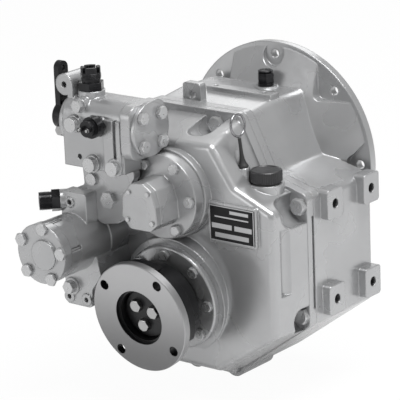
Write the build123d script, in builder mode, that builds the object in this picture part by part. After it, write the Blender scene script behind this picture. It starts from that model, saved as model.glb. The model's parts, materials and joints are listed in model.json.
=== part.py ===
from build123d import *

import os
from math import acos, atan2, cos, degrees, radians, sin

# A two-shaft hydraulic reversing gearbox for a boat engine, with a down-angle output.
# X points to starboard, Y forward to the engine and Z up. The origin is the centre of the
# face that bolts to the engine, on the crankshaft axis. All lengths are in millimetres.
# A depth is a distance aft of that face.

# Fits
bolt_clearance = 0.15
running_clearance = 0.4
sliding_clearance = 0.3
cap_clearance = 0.5
clear_height = 20

# Engine flange
flange_radius = 129
flange_thickness = 9.6
flange_hole_circle = 230
flange_hole_count = 8
flange_hole_radius = 5.25
flange_hole_depth = 20
damper_recess_radius = 97
damper_recess_depth = 8
web_radius = 124.5
web_foot_radius = 75
web_foot_depth = 30
bell_pocket_left = 59
bell_pocket_floor = 70
bell_pocket_edge = 9
spot_face_radius = 14
side_relief = [(102, -4), (102, 4), (flange_radius, 36), (flange_radius, -12)]
side_relief_edge = 3

# Casing, cut across by the joint between the front and rear castings
casing_half_width = 135
casing_front = 22
joint_depth = 129
rear_wall_depth = 200
wall = 8
front_wall = 13
corner_radius = 9
hump_half_width = 46
hump_height = 76
hump_foot = 76
deck_inner_height = 12
deck_outer_height = -4
port_shoulder = 112
port_shoulder_height = 40
port_hump = 84
side_bottom_height = -150
sump_half_width = 30
sump_height = -226
joint_flange = 12
joint_lip = 4
rear_hump_half_width = 51
rear_hump_height = 58
rear_foot = 82
rear_foot_height = 15
rear_port_shoulder = 106
rear_port_shoulder_height = 30
rear_sump_half_width = 52
rear_sump_height = -199
rear_draft = 3
rear_edge_radius = 7
scallop_wall = 6
bowl_flat = 8
groove_width = 4
groove_depth = 5
groove_top = -25
groove_bottom = -131
hollow_radius = 10
hollow_depth = 180
hollow_top = -28
hollow_bottom = -103
lug_radius = 14
lug_front = 86
hump_rise = 6
corner_bolt_inset = 9.5
corner_bolt_top = -12.5
corner_bolt_bottom = -138
lug_bolt_inset = 2
lug_bolt_rise = 11
hump_bolts = [(17, 65), (-68, 64)]
dowel_inset = 11
dowel_height = -75
block_edge_radius = 4

# Gear train: the bull gear is a cone gear, because the output shaft points down
down_angle = 7
output_face_depth = 271.9
output_face_height = -125.3
gear_module = 4
pinion_teeth = 16
bull_teeth = 37
gear_width = 20
transfer_module = 3
transfer_teeth = 26
transfer_front = 42
root_share = 0.56
tip_share = 0.232
addendum_share = 0.8
dedendum_share = 1.25
bull_recess_outer = 60
bull_recess_inner = 38
bull_recess_depth = 5

# Clutches
drum_radius = 36.5
drum_wall = 4
drum_end = 104
drum_web = 4
drum_hub_radius = 22
drum_hub_end = 74.5
piston_thickness = 6
plate_count = 5
plate_thickness = 1.8
plate_gap = 0.5
plate_front = 75
pinion_hub_radius = 24.5
plate_clearance = 1.2

# Shafts and taper roller bearings
shaft_radius = 19
collar_radius = 24
bearing_bore = 17.5
bearing_outer = 36
bearing_width = 18
cup_narrow = 6.5
cup_wide = 3.5
cone_rim = 4
front_bearing_depth = 20
rear_bearing_depth = 158
boss_wall = 6
boss_step = 6
seal_radius = 15
seal_width = 9
spline_teeth = 14
spline_module = 1.6
spline_end = 24
output_shaft_radius = 27
output_journal_radius = 22.5
output_nose_radius = 20
output_bearing_outer = 42.5
output_bearing_width = 21
output_rear_bearing = 70
output_front_bearing = 222

# Output coupling, cover and seal: a distance is measured forward of the coupling's face
coupling_radius = 63.5
coupling_thickness = 9
coupling_hole_circle = 108
coupling_hole_count = 4
coupling_hole_radius = 5.75
coupling_hole_angle = 54
pilot_radius = 31.75
pilot_depth = 5
well_radius = 29
well_depth = 17.5
coupling_back_radius = 60
coupling_back_end = 23
spot_recess_radius = 14
coupling_drum_radius = 50
coupling_drum_end = 44
coupling_hub_radius = 30
washer_radius = 27
washer_thickness = 5
washer_bolt_circle = 27
washer_bolt_count = 3
output_boss_radius = 68
output_boss_face = 65
output_cover_radius = 61
output_cover_thickness = 8
output_cover_bolt_circle = 105
output_cover_bolt_count = 8
output_seal_radius = 38
output_seal_width = 8

# Fasteners
bolt_radius = 4
bolt_head_across = 13
bolt_head_height = 5.5
small_bolt_radius = 3
small_head_across = 10
small_head_height = 4.2
thread_depth = 16
joint_bolt_radius = 5
joint_head_across = 17
joint_head_height = 7
bolt_column_radius = 10
dowel_radius = 4
dowel_length = 20

# Side mounting pads
pad_face = 145
pad_width = 29
pad_height = 34
pad_hole_radius = 5.5
pad_hole_depth = 16
pad_front = 32.5
pad_spacing_y = 69.5
pad_top = -16.5
pad_spacing_z = 110

# Top bar with its eye, and the breather
bar_front = 64
bar_width = 16
bar_height = 87
bar_starboard = 44
bar_port = -46
bar_hole_radius = 2.6
bar_holes = [(-38, -72), (30, -72)]
eye_port = -54.5
eye_width = 25
eye_front = 102
eye_end = 112
eye_foot = 68
eye_top = 98
eye_x = -41
eye_height = 84.5
eye_radius = 4.5
breather_x = 4.5
breather_depth = 35
breather_seat = 84
breather_radius = 9
breather_boss_radius = 13
breather_boss_height = 10
breather_hole_depth = 30
breather_neck_height = 6
breather_height = 19

# Drain plug
drain_depth = 75
drain_seat = -230
drain_boss_radius = 16
drain_boss_height = 10
drain_thread_radius = 7
drain_thread_length = 12
drain_head_across = 19
drain_head_height = 8

# Pump on the rear of the input shaft
pump_boss_radius = 50
pump_boss_face = 210
pump_flange_radius = 47.5
pump_flange_thickness = 14
pump_bolt_circle = 80
pump_bolt_count = 6
pump_split = 254
pump_end = 262
pump_spigot_radius = 30
pump_module = 1.75
pump_teeth = 8
pump_gear_depth = 230
pump_gear_width = 22
pump_journal_radius = 4.5

# Control valve across the top, on the port side
valve_centre_depth = 231
valve_centre_height = 77
valve_port = -107
valve_starboard = -22
valve_flange_end = -9
valve_front = 200
valve_aft = 258
valve_bottom = 30
valve_top = 106
valve_edge_radius = 20
valve_cover_radius = 30
valve_cover_thickness = 5
valve_cover_bolt_spacing = 31.5
valve_flange_bottom = 46
valve_disc_radius = 28
valve_disc_thickness = 5
valve_flange_overhang = 4
valve_flange_edge = 13
valve_spine_rise = 12
valve_pump_gap = 6
valve_rib = (-48, -24)
valve_rib_height = 3
valve_rib_slot = (-34, -30)
valve_rib_slot_foot = 46
valve_rib_slot_depth = 6
vent_place = (-85, 42)
vent_radius = 3
vent_depth = 8
plug_boss_radius = 10
plug_boss_height = 4
plug_radius = 8
plug_height = 6
hex_plug_boss_depth = 14
hex_plug_across = 12
sensor_across = 22
sensor_foot_height = 3
sensor_collar_radius = 12
sensor_collar_height = 9
sensor_body_radius = 9
sensor_body_height = 7
sensor_post_radius = 2.5
sensor_post_height = 6
spool_radius = 9
spool_waist_radius = 6
spool_waist_length = 12
spool_waists = (-85, -55, -32)
cable_boss_x = -111.5
cable_boss_height = 117.5
cable_boss_radius = 12
cable_boss_end = 248
cable_boss_start = 204
cable_hole_radius = 3.5
adapter_x = -84
adapter_depth = 234
adapter_seat = 112.5
adapter_boss_radius = 15
adapter_across = 25
adapter_hex_height = 9
adapter_neck_height = 3
adapter_crown_radius = 11
adapter_crown_height = 13.5
adapter_bore = 7
adapter_bore_depth = 20
adapter_slot_width = 4
adapter_slot_depth = 6
lever_gap = 1.5
lever_hub_radius = 15
lever_hub_width = 13
lever_thickness = 7
lever_reach = 54
lever_tip_radius = 8
clamp_depth = 247
clamp_height = 64.5
clamp_half_width = 5.5
clamp_below = 6.5
clamp_above = 7
clamp_edge = 3
lever_hole_radius = 3
lever_hole_spacing = 18

# Valve base between the valve, the pump and the filter
base_depth = 240
base_clearance = 0.2
base_hollow_radius = 32
base_plug_across = 17
base_disc_radius = 7

# Filter housing on the port side
filter_x = -103
filter_height = -59
filter_radius = 34
filter_seam = 230
filter_end = 297
filter_cap_thickness = 13
filter_cap_bolt_circle = 60
filter_bore = 27
filter_element_radius = 22
filter_element_bore = 10
filter_plug_place = (-108, -112)
filter_plug_across = 13
filter_plug_height = 7
foot_boss_height = 3
foot_ear_radius = 7
foot_ear_height = 2
foot_ear_hole_radius = 2.8
foot_ear_hole_depth = 12
block_rise = 18
foot_rise = 15
block_edge = 3
hole_ring_radius = 6
hole_ring_height = 1.5
ringed_hole_radius = 3
ringed_hole_depth = 10
cap_plug_offset = 5
cap_plug_radius = 17
cap_plug_height = 3
fitting_boss_radius = 12
fitting_boss_depth = 14
fitting_bore = 6
fitting_boss_bore_depth = 8
fitting_across = 22
fitting_hex_height = 9
fitting_neck_radius = 10
fitting_neck_height = 14
fitting_length = 18

# Oil filler and dipstick
filler_x = 91.5
filler_depth = joint_depth + 26
filler_seat = 12.5
filler_boss_radius = 20
filler_hole_radius = 13
filler_hole_depth = 30
filler_cap_radius = 18
filler_cap_height = 13
filler_plug_radius = 11
filler_plug_length = 8
gasket_thickness = 2
dipstick_x = 69.5
dipstick_depth = 166.5
dipstick_seat = 29
dipstick_tilt = 7
dipstick_reach = 165
dipstick_stem = 35
dipstick_wire = 1.4
dipstick_loop = 12
stopper_radius = 6.2
stopper_neck = 2.3
stopper_foot = 1.5
stopper_spigot = 2.8
stopper_spigot_length = 5
stopper_flare_share = 0.55
stopper_bend_share = 0.42
stopper_bend_rise = 0.3
dipstick_bore = 3
dipstick_bore_depth = 60
stopper_height = 33
stopper_boss = 14

# Name plate and its pad
plate_x = 80.5
plate_centre_height = -25
plate_width = 60
plate_height = 40
plate_thickness = 1
plate_pad_margin = 3
plate_pad_face = 204
rivet_radius = 1.6

# Axes
slope = sin(radians(down_angle)) / cos(radians(down_angle))
tilt_cos = cos(radians(down_angle))
tilt_sin = sin(radians(down_angle))
pinion_radius = gear_module * pinion_teeth / 2
bull_radius = gear_module * bull_teeth / 2
transfer_radius = transfer_module * transfer_teeth / 2
bull_centre_y = -output_face_depth + (-pinion_radius - bull_radius * tilt_cos - output_face_height) / slope
pinion_centre_y = bull_centre_y - bull_radius * tilt_sin
bull_distance = (output_face_depth + bull_centre_y) / tilt_cos
mesh_height = output_face_height + slope * (output_face_depth + pinion_centre_y)
pinion_front = -pinion_centre_y - gear_width / 2
pinion_end = -pinion_centre_y + gear_width / 2

# The countershaft stands one transfer pitch from the input shaft and one mesh from the output shaft
input_mesh = -mesh_height
counter_mesh = input_mesh + 0.3 * bull_radius * tilt_sin**2
counter_cosine = input_mesh**2 + counter_mesh**2 - (2 * transfer_radius) ** 2
counter_cosine /= 2 * input_mesh * counter_mesh
counter_turn = acos(counter_cosine)
counter_x = -counter_mesh * sin(counter_turn)
counter_z = mesh_height + counter_mesh * cos(counter_turn)

input_axial = Plane(origin=(0, 0, 0), x_dir=(0, 1, 0), z_dir=(1, 0, 0))
counter_axial = Plane(origin=(counter_x, 0, counter_z), x_dir=(0, 1, 0), z_dir=(1, 0, 0))
output_axial = Plane(
    origin=(0, -output_face_depth, output_face_height), x_dir=(0, tilt_cos, tilt_sin), z_dir=(1, 0, 0)
)
dipstick_plane = Plane(
    origin=(dipstick_x, -dipstick_depth, dipstick_seat),
    x_dir=(0, 1, 0),
    z_dir=(-sin(radians(dipstick_tilt)), 0, cos(radians(dipstick_tilt))),
)
filter_axial = Plane(origin=(filter_x, 0, filter_height), x_dir=(0, 1, 0), z_dir=(1, 0, 0))


def aft(depth):
    """A plane across the gearbox that faces aft: its own x and y are X and Z."""
    return Plane(origin=(0, -depth, 0), x_dir=(1, 0, 0), z_dir=(0, -1, 0))


def level(height):
    """A level plane that faces up: its own x and y are X and Y."""
    return Plane(origin=(0, 0, height), x_dir=(1, 0, 0), z_dir=(0, 0, 1))


def along_output(distance):
    """A plane square to the output shaft, facing aft, a distance forward of the coupling's face."""
    return Plane(
        origin=(0, -output_face_depth + distance * tilt_cos, output_face_height + distance * tilt_sin),
        x_dir=(1, 0, 0),
        z_dir=(0, -tilt_cos, -tilt_sin),
    )


def turn(axial, *outline, mode=Mode.ADD):
    """Turn an outline of (distance forward, radius) points about an axial plane's x axis."""
    with BuildSketch(axial) as profile:
        with BuildLine():
            Polyline(*outline, close=True)
        make_face()
    revolve(profile.sketch, axis=Axis(axial.origin, axial.x_dir), mode=mode)


def ring(axial, start, end, inner, outer, mode=Mode.ADD):
    """A plain ring, disc or bore between two distances along an axial plane's x axis."""
    turn(axial, (start, inner), (end, inner), (end, outer), (start, outer), mode=mode)


def discs(plane, places, radius, height, mode=Mode.ADD):
    """Round bosses that stand on a plane; a negative height goes into it."""
    with BuildSketch(plane) as circles:
        with Locations(*places):
            Circle(radius)
    extrude(circles.sketch, amount=height, mode=mode)


def bores(plane, places, radius, depth):
    """Round holes that go into a plane."""
    discs(plane, places, radius, -depth, mode=Mode.SUBTRACT)


def slab(plane, outline, height, edge=0, mode=Mode.ADD):
    """A straight-edged block on a plane, its upright edges rounded."""
    with BuildSketch(plane) as face:
        with BuildLine():
            Polyline(*outline, close=True)
        make_face()
        if edge:
            fillet(face.vertices(), radius=edge)
    extrude(face.sketch, amount=height, mode=mode)


def box(left, right, bottom, top):
    """The corners of an upright rectangle."""
    return [(left, bottom), (right, bottom), (right, top), (left, top)]


def hexagons(plane, places, across, height):
    """Hexagonal heads that stand on a plane."""
    with BuildSketch(plane) as heads:
        with Locations(*places):
            RegularPolygon(radius=across / 2, side_count=6, major_radius=False)
    extrude(heads.sketch, amount=height)


def bolts(plane, places, length, radius=bolt_radius, across=bolt_head_across, head=bolt_head_height):
    """Hex bolts whose heads stand on a plane, with their shanks going into it."""
    hexagons(plane, places, across, head)
    discs(plane, places, radius, -length)


def around(count, circle, first=0):
    """Places on a circle that is given by its diameter."""
    turns = [radians(first + i * 360 / count) for i in range(count)]
    return [(circle / 2 * cos(a), circle / 2 * sin(a)) for a in turns]


def teeth_outline(teeth, module, first, centre=(0, 0)):
    """A toothed edge, with the middle of one tooth at the first angle."""
    pitch = 360 / teeth
    root = module * (teeth / 2 - dedendum_share)
    tip = module * (teeth / 2 + addendum_share)
    corners = ((-root_share / 2, root), (-tip_share / 2, tip), (tip_share / 2, tip), (root_share / 2, root))
    points = []
    for i in range(teeth):
        for share, radius in corners:
            angle = radians(first + (i + share) * pitch)
            points.append((centre[0] + radius * cos(angle), centre[1] + radius * sin(angle)))
    return points


def casing_outline(lip=0, rise=0):
    """The casing's section: a hump over the input shaft, sloping decks and a narrow sump."""
    return [
        (hump_half_width, hump_height + lip + rise),
        (hump_foot + lip / 2, deck_inner_height + lip),
        (casing_half_width, deck_outer_height + lip),
        (casing_half_width, side_bottom_height),
        (sump_half_width, sump_height),
        (-sump_half_width, sump_height),
        (-casing_half_width, side_bottom_height),
        (-casing_half_width, deck_outer_height + lip),
        (-port_shoulder, port_shoulder_height + lip),
        (-port_hump, hump_height + lip + rise),
    ]


def rear_outline():
    """The same section at the rear wall, where the casting is lower, shallower and drafted."""
    side = casing_half_width - rear_draft
    return [
        (rear_hump_half_width, rear_hump_height),
        (rear_foot, rear_foot_height),
        (side, deck_outer_height - rear_draft),
        (side, side_bottom_height + rear_draft),
        (rear_sump_half_width, rear_sump_height),
        (-rear_sump_half_width, rear_sump_height),
        (-side, side_bottom_height + rear_draft),
        (-side, deck_outer_height - rear_draft),
        (-rear_port_shoulder, rear_port_shoulder_height),
        (-port_hump, rear_hump_height),
    ]


def section(plane, outline, shrink=0, columns=(), column_radius=bolt_column_radius):
    """A casing section as a rounded sketch, or its hollow with bolt columns left standing."""
    with BuildSketch(plane) as shape:
        with BuildLine():
            Polyline(*outline, close=True)
        make_face()
        if shrink:
            offset(amount=-shrink, kind=Kind.INTERSECTION)
        fillet(shape.vertices(), radius=corner_radius)
        if columns:
            with Locations(*columns):
                Circle(column_radius, mode=Mode.SUBTRACT)
    return shape.sketch


def scoop(x, z, radius, start, end):
    """A round pocket along the gearbox that ends in a bowl."""
    axial = Plane(origin=(x, 0, z), x_dir=(0, 1, 0), z_dir=(1, 0, 0))
    halfway = radius * sin(radians(45))
    tip = (-end - radius * cos(radians(bowl_flat)), radius * sin(radians(bowl_flat)))
    with BuildSketch(axial) as profile:
        with BuildLine():
            Polyline(tip, (tip[0], 0), (-start, 0), (-start, radius), (-end, radius))
            ThreePointArc((-end, radius), (-end - halfway, halfway), tip)
        make_face()
    revolve(profile.sketch, axis=Axis(axial.origin, axial.x_dir), mode=Mode.SUBTRACT)


def write(part, name):
    """Label a finished piece and write it."""
    part.label = name
    export_step(part, f"parts/{name}.step")


os.makedirs("parts", exist_ok=True)

# Places that several pieces share
corner_bolt_x = casing_half_width - corner_bolt_inset
top_bolts = [(corner_bolt_x, corner_bolt_top), (-corner_bolt_x, corner_bolt_top)]
bottom_bolts = [(corner_bolt_x, corner_bolt_bottom), (-corner_bolt_x, corner_bolt_bottom)]
lug_bolt_x = sump_half_width - lug_bolt_inset
lug_bolts = [(lug_bolt_x, sump_height + lug_bolt_rise), (-lug_bolt_x, sump_height + lug_bolt_rise)]
joint_bolts = top_bolts + bottom_bolts + lug_bolts + hump_bolts
breather_place = [(breather_x, -breather_depth)]
dowel_x = casing_half_width - dowel_inset
dowel_places = [(dowel_x, dowel_height), (-dowel_x, dowel_height)]
flange_holes = around(flange_hole_count, flange_hole_circle)
pad_places = [
    (-pad_front - i * pad_spacing_y, pad_top - j * pad_spacing_z) for i in range(2) for j in range(2)
]
cover_bolts = around(output_cover_bolt_count, output_cover_bolt_circle)
coupling_holes = around(coupling_hole_count, coupling_hole_circle, first=coupling_hole_angle)
washer_bolts = around(washer_bolt_count, washer_bolt_circle, first=20)
pump_bolts = around(pump_bolt_count, pump_bolt_circle)
front_bearing_end = front_bearing_depth + bearing_width
rear_bearing_end = rear_bearing_depth + bearing_width
bearing_mouth = bearing_outer - cup_narrow
bearing_boss = bearing_outer + boss_wall
output_boss_inner = output_bearing_outer + boss_wall
output_front_end = output_front_bearing + output_bearing_width
output_rear_end = output_rear_bearing + output_bearing_width
inner_wall = casing_front + front_wall
rear_inner_wall = rear_wall_depth - wall

# Front housing
with BuildPart() as main_housing:
    turn(
        input_axial,
        (0, 0),
        (0, flange_radius),
        (-flange_thickness, flange_radius),
        (-flange_thickness, web_radius),
        (-web_foot_depth, web_foot_radius),
        (-web_foot_depth, 0),
    )
    for side in (1, -1):
        pocket = [
            (side * bell_pocket_left, bell_pocket_floor),
            (side * flange_radius, bell_pocket_floor),
            (side * flange_radius, flange_radius),
            (side * bell_pocket_left, flange_radius),
        ]
        slab(aft(flange_thickness), pocket, casing_front, edge=bell_pocket_edge, mode=Mode.SUBTRACT)
    upright_holes = [flange_holes[0], flange_holes[2], flange_holes[4]]
    discs(aft(flange_thickness), upright_holes, spot_face_radius, casing_front, mode=Mode.SUBTRACT)
    for side in (1, -1):
        relief = [(side * x, z) for x, z in side_relief]
        slab(aft(flange_thickness), relief, casing_front, edge=side_relief_edge, mode=Mode.SUBTRACT)
    bar_end = bar_front + bar_width
    extrude(section(aft(casing_front), casing_outline(rise=hump_rise)), amount=bar_end - casing_front)
    risen = section(aft(bar_end), casing_outline(rise=hump_rise))
    loft(sections=[risen, section(aft(joint_depth), casing_outline())], ruled=True)
    extrude(section(aft(joint_depth - joint_flange), casing_outline(joint_lip)), amount=joint_flange)
    discs(aft(lug_front), lug_bolts, lug_radius, joint_depth - lug_front)
    extrude(
        section(aft(inner_wall), casing_outline(), shrink=wall, columns=joint_bolts + dowel_places),
        amount=joint_depth - inner_wall,
        mode=Mode.SUBTRACT,
    )
    slab(aft(bar_front), box(bar_port, bar_starboard, hump_height - wall, bar_height), bar_width)
    bores(level(bar_height), bar_holes, bar_hole_radius, wall)
    eye_lug = box(eye_port, eye_port + eye_width, eye_foot, eye_top)
    slab(aft(eye_front), eye_lug, eye_end - eye_front, edge=block_edge_radius)
    bores(aft(eye_end), [(eye_x, eye_height)], eye_radius, eye_end - eye_front)
    discs(level(breather_seat), breather_place, breather_boss_radius, -breather_boss_height)
    discs(level(drain_seat), [(0, -drain_depth)], drain_boss_radius, drain_boss_height)
    ring(input_axial, -damper_recess_depth, 0, 0, damper_recess_radius, mode=Mode.SUBTRACT)
    for axial in (input_axial, counter_axial):
        ring(axial, -front_bearing_end, -inner_wall, 0, bearing_boss)
        ring(axial, -front_bearing_end, -front_bearing_depth, 0, bearing_outer, mode=Mode.SUBTRACT)
    ring(input_axial, -front_bearing_depth, 0, 0, bearing_mouth, mode=Mode.SUBTRACT)
    ring(output_axial, output_front_bearing, output_front_end + 2, 0, output_boss_inner)
    ring(
        output_axial, output_front_bearing - 1, output_front_end, 0, output_bearing_outer, mode=Mode.SUBTRACT
    )
    bores(aft(0), flange_holes, flange_hole_radius, -flange_hole_depth)
    bores(level(breather_seat), breather_place, small_bolt_radius, breather_hole_depth)
    bores(level(drain_seat), [(0, -drain_depth)], drain_thread_radius, -2 * drain_boss_height)
    bores(aft(joint_depth), joint_bolts, joint_bolt_radius + bolt_clearance, thread_depth + 1)
    bores(aft(joint_depth), dowel_places, dowel_radius, dowel_length / 2)
    for side in (1, -1):
        pad_plane = Plane(origin=(side * pad_face, 0, 0), x_dir=(0, side, 0), z_dir=(side, 0, 0))
        places = [(side * y, z) for y, z in pad_places]
        with BuildSketch(pad_plane) as pads:
            with Locations(*places):
                RectangleRounded(pad_width, pad_height, block_edge_radius)
        extrude(pads.sketch, amount=casing_half_width - pad_face - wall / 2)
        bores(pad_plane, places, pad_hole_radius, pad_hole_depth)

write(main_housing.part, "main_housing")

# Rear housing
scallops = [
    (top_bolts, 8.5, 4.5, 22, 24),
    (bottom_bolts, 2, -1, 15.5, 13),
    (lug_bolts, 0, -4, 15, 30),
    (hump_bolts, -1, 4, 16, 30),
]
scallop_places = []
for places, outward, upward, radius, length in scallops:
    for x, z in places:
        shift = outward if x > 0 else -outward
        scallop_places.append((x + shift, z + upward, radius, length))
with BuildPart() as rear_housing:
    sections = [
        section(aft(joint_depth), casing_outline()),
        section(aft(rear_wall_depth), rear_outline()),
    ]
    loft(sections=sections, ruled=True)
    fillet(rear_housing.faces().sort_by(Axis.Y)[0].edges(), radius=rear_edge_radius)
    discs(aft(rear_inner_wall), [(0, 0)], pump_boss_radius, pump_boss_face - rear_inner_wall)
    ring(output_axial, output_boss_face, output_rear_end, 0, output_boss_radius)
    discs(along_output(output_boss_face), [(0, 0)], output_cover_radius + 1, cup_narrow, mode=Mode.SUBTRACT)
    plate_pad = box(
        plate_x - plate_width / 2 - plate_pad_margin,
        plate_x + plate_width / 2 + plate_pad_margin,
        plate_centre_height - plate_height / 2 - plate_pad_margin,
        plate_centre_height + plate_height / 2 + plate_pad_margin,
    )
    slab(aft(rear_inner_wall), plate_pad, plate_pad_face - rear_inner_wall, edge=block_edge_radius)
    for x, z, radius, length in scallop_places:
        scoop(x, z, radius, joint_depth, joint_depth + joint_flange + length)
    extrude(section(aft(joint_depth), casing_outline(joint_lip)), amount=joint_flange)
    discs(aft(joint_depth), lug_bolts, lug_radius, joint_flange)
    discs(level(filler_seat), [(filler_x, -filler_depth)], filler_boss_radius, -filler_seat - wall)
    discs(dipstick_plane, [(0, 0)], stopper_radius + stopper_foot, clear_height, mode=Mode.SUBTRACT)
    discs(dipstick_plane, [(0, 0)], stopper_radius + stopper_foot, -stopper_boss)
    discs(
        level(filler_seat),
        [(filler_x, -filler_depth)],
        filler_cap_radius + cap_clearance,
        clear_height,
        mode=Mode.SUBTRACT,
    )
    with BuildSketch(aft(joint_depth)) as rear_hollow:
        add(section(aft(0), rear_outline(), shrink=wall))
        for x, z, radius, length in scallop_places:
            with Locations((x, z)):
                Circle(radius + scallop_wall, mode=Mode.SUBTRACT)
        with Locations(*dowel_places):
            Circle(bolt_column_radius, mode=Mode.SUBTRACT)
    extrude(rear_hollow.sketch, amount=rear_inner_wall - joint_depth, mode=Mode.SUBTRACT)
    for axial in (input_axial, counter_axial):
        ring(axial, -rear_inner_wall - 1, -rear_bearing_depth, 0, bearing_boss)
        ring(axial, -rear_bearing_end, -rear_bearing_depth, 0, bearing_outer, mode=Mode.SUBTRACT)
        ring(axial, -rear_bearing_end - 1, -rear_bearing_end, 0, bearing_mouth, mode=Mode.SUBTRACT)
    ring(output_axial, output_boss_face + 4, output_rear_end + 4, 0, output_boss_inner)
    ring(input_axial, -pump_boss_face, -rear_bearing_end, 0, pump_spigot_radius, mode=Mode.SUBTRACT)
    ring(output_axial, output_boss_face, output_rear_end, 0, output_bearing_outer, mode=Mode.SUBTRACT)
    boss_mouth = output_bearing_outer - boss_step
    ring(output_axial, output_rear_end, output_rear_end + 4, 0, boss_mouth, mode=Mode.SUBTRACT)
    bores(aft(joint_depth + joint_flange), joint_bolts, joint_bolt_radius + bolt_clearance, joint_flange)
    bores(aft(joint_depth + dowel_length / 2), dowel_places, dowel_radius, dowel_length / 2)
    bores(aft(pump_boss_face), pump_bolts, bolt_radius + bolt_clearance, thread_depth + 1)
    bores(along_output(output_boss_face), cover_bolts, bolt_radius + bolt_clearance, thread_depth + 1)
    bores(level(filler_seat), [(filler_x, -filler_depth)], filler_hole_radius, filler_hole_depth)
    bores(dipstick_plane, [(0, 0)], dipstick_bore, dipstick_bore_depth)
    for side in (1, -1):
        inner, outer = sorted((side * (casing_half_width - groove_depth), side * (casing_half_width + 1)))
        groove = box(inner, outer, groove_bottom, groove_top)
        slab(aft(joint_depth), groove, groove_width, mode=Mode.SUBTRACT)
        hollow_place = [(side * (casing_half_width + 3), -hollow_depth)]
        discs(level(hollow_top), hollow_place, hollow_radius, hollow_bottom - hollow_top, mode=Mode.SUBTRACT)

write(rear_housing.part, "rear_housing")

# Bolts of the housing joint
with BuildPart() as housing_bolts:
    bolts(
        aft(joint_depth + joint_flange),
        joint_bolts,
        joint_flange + thread_depth,
        radius=joint_bolt_radius,
        across=joint_head_across,
        head=joint_head_height,
    )

write(housing_bolts.part, "housing_bolts")

# Dowels that line the two castings up
with BuildPart() as dowel_pins:
    discs(aft(joint_depth - dowel_length / 2), dowel_places, dowel_radius, dowel_length)

write(dowel_pins.part, "dowel_pins")

# Output bearing cover, with its spigot on the bearing and a seat for the seal
cover_face = output_boss_face - output_cover_thickness
with BuildPart() as output_bearing_cover:
    turn(
        output_axial,
        (cover_face, output_seal_radius),
        (cover_face + output_seal_width, output_seal_radius),
        (cover_face + output_seal_width, output_seal_radius - 4),
        (output_rear_bearing, output_seal_radius - 4),
        (output_rear_bearing, output_bearing_outer - bolt_clearance),
        (output_boss_face, output_bearing_outer - bolt_clearance),
        (output_boss_face, output_cover_radius),
        (cover_face + 1.5, output_cover_radius),
        (cover_face, output_cover_radius - 1.5),
    )
    bores(along_output(cover_face), cover_bolts, bolt_radius + bolt_clearance, output_cover_thickness)

write(output_bearing_cover.part, "output_bearing_cover")

with BuildPart() as output_cover_bolts:
    bolts(
        along_output(cover_face),
        cover_bolts,
        output_cover_thickness + thread_depth,
        across=small_head_across + 1,
        head=small_head_height,
    )

write(output_cover_bolts.part, "output_cover_bolts")

with BuildPart() as output_oil_seal:
    ring(
        output_axial,
        cover_face,
        cover_face + output_seal_width,
        coupling_hub_radius + running_clearance,
        output_seal_radius,
    )

write(output_oil_seal.part, "output_oil_seal")

with BuildPart() as input_oil_seal:
    ring(
        input_axial,
        -front_bearing_depth,
        -front_bearing_depth + seal_width,
        seal_radius + running_clearance,
        bearing_mouth,
    )

write(input_oil_seal.part, "input_oil_seal")


def cup(axial, mouth, back, outer):
    """A taper bearing's outer race, wider inside at its mouth."""
    turn(axial, (mouth, outer), (back, outer), (back, outer - cup_narrow), (mouth, outer - cup_wide))


def cone(axial, mouth, back, outer, bore):
    """A taper bearing's inner race with its ring of rollers, clear of the outer race."""
    track = outer - running_clearance
    narrow = track - cup_narrow
    wide = track - cup_wide
    turn(
        axial,
        (mouth, bore),
        (back, bore),
        (back, narrow - cone_rim),
        (mouth * 0.1 + back * 0.9, wide * 0.1 + narrow * 0.9),
        (mouth * 0.9 + back * 0.1, wide * 0.9 + narrow * 0.1),
        (mouth, wide - cone_rim),
    )


# Bearing outer races, pressed into the castings
with BuildPart() as input_bearing_cups:
    cup(input_axial, -front_bearing_end, -front_bearing_depth, bearing_outer)
    cup(input_axial, -rear_bearing_depth, -rear_bearing_end, bearing_outer)

write(input_bearing_cups.part, "input_bearing_cups")

with BuildPart() as counter_bearing_cups:
    cup(counter_axial, -front_bearing_end, -front_bearing_depth, bearing_outer)
    cup(counter_axial, -rear_bearing_depth, -rear_bearing_end, bearing_outer)

write(counter_bearing_cups.part, "counter_bearing_cups")

with BuildPart() as output_bearing_cups:
    cup(output_axial, output_rear_end, output_rear_bearing, output_bearing_outer)
    cup(output_axial, output_front_bearing, output_front_end, output_bearing_outer)

write(output_bearing_cups.part, "output_bearing_cups")

# Bearing inner races, on the shafts
with BuildPart() as input_bearing_cones:
    cone(input_axial, -front_bearing_end, -front_bearing_depth, bearing_outer, bearing_bore)
    cone(input_axial, -rear_bearing_depth, -rear_bearing_end, bearing_outer, bearing_bore)

write(input_bearing_cones.part, "input_bearing_cones")

with BuildPart() as counter_bearing_cones:
    cone(counter_axial, -front_bearing_end, -front_bearing_depth, bearing_outer, bearing_bore)
    cone(counter_axial, -rear_bearing_depth, -rear_bearing_end, bearing_outer, bearing_bore)

write(counter_bearing_cones.part, "counter_bearing_cones")

with BuildPart() as output_bearing_cones:
    cone(output_axial, output_rear_end, output_rear_bearing, output_bearing_outer, output_journal_radius)
    cone(output_axial, output_front_bearing, output_front_end, output_bearing_outer, output_journal_radius)

write(output_bearing_cones.part, "output_bearing_cones")

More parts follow.
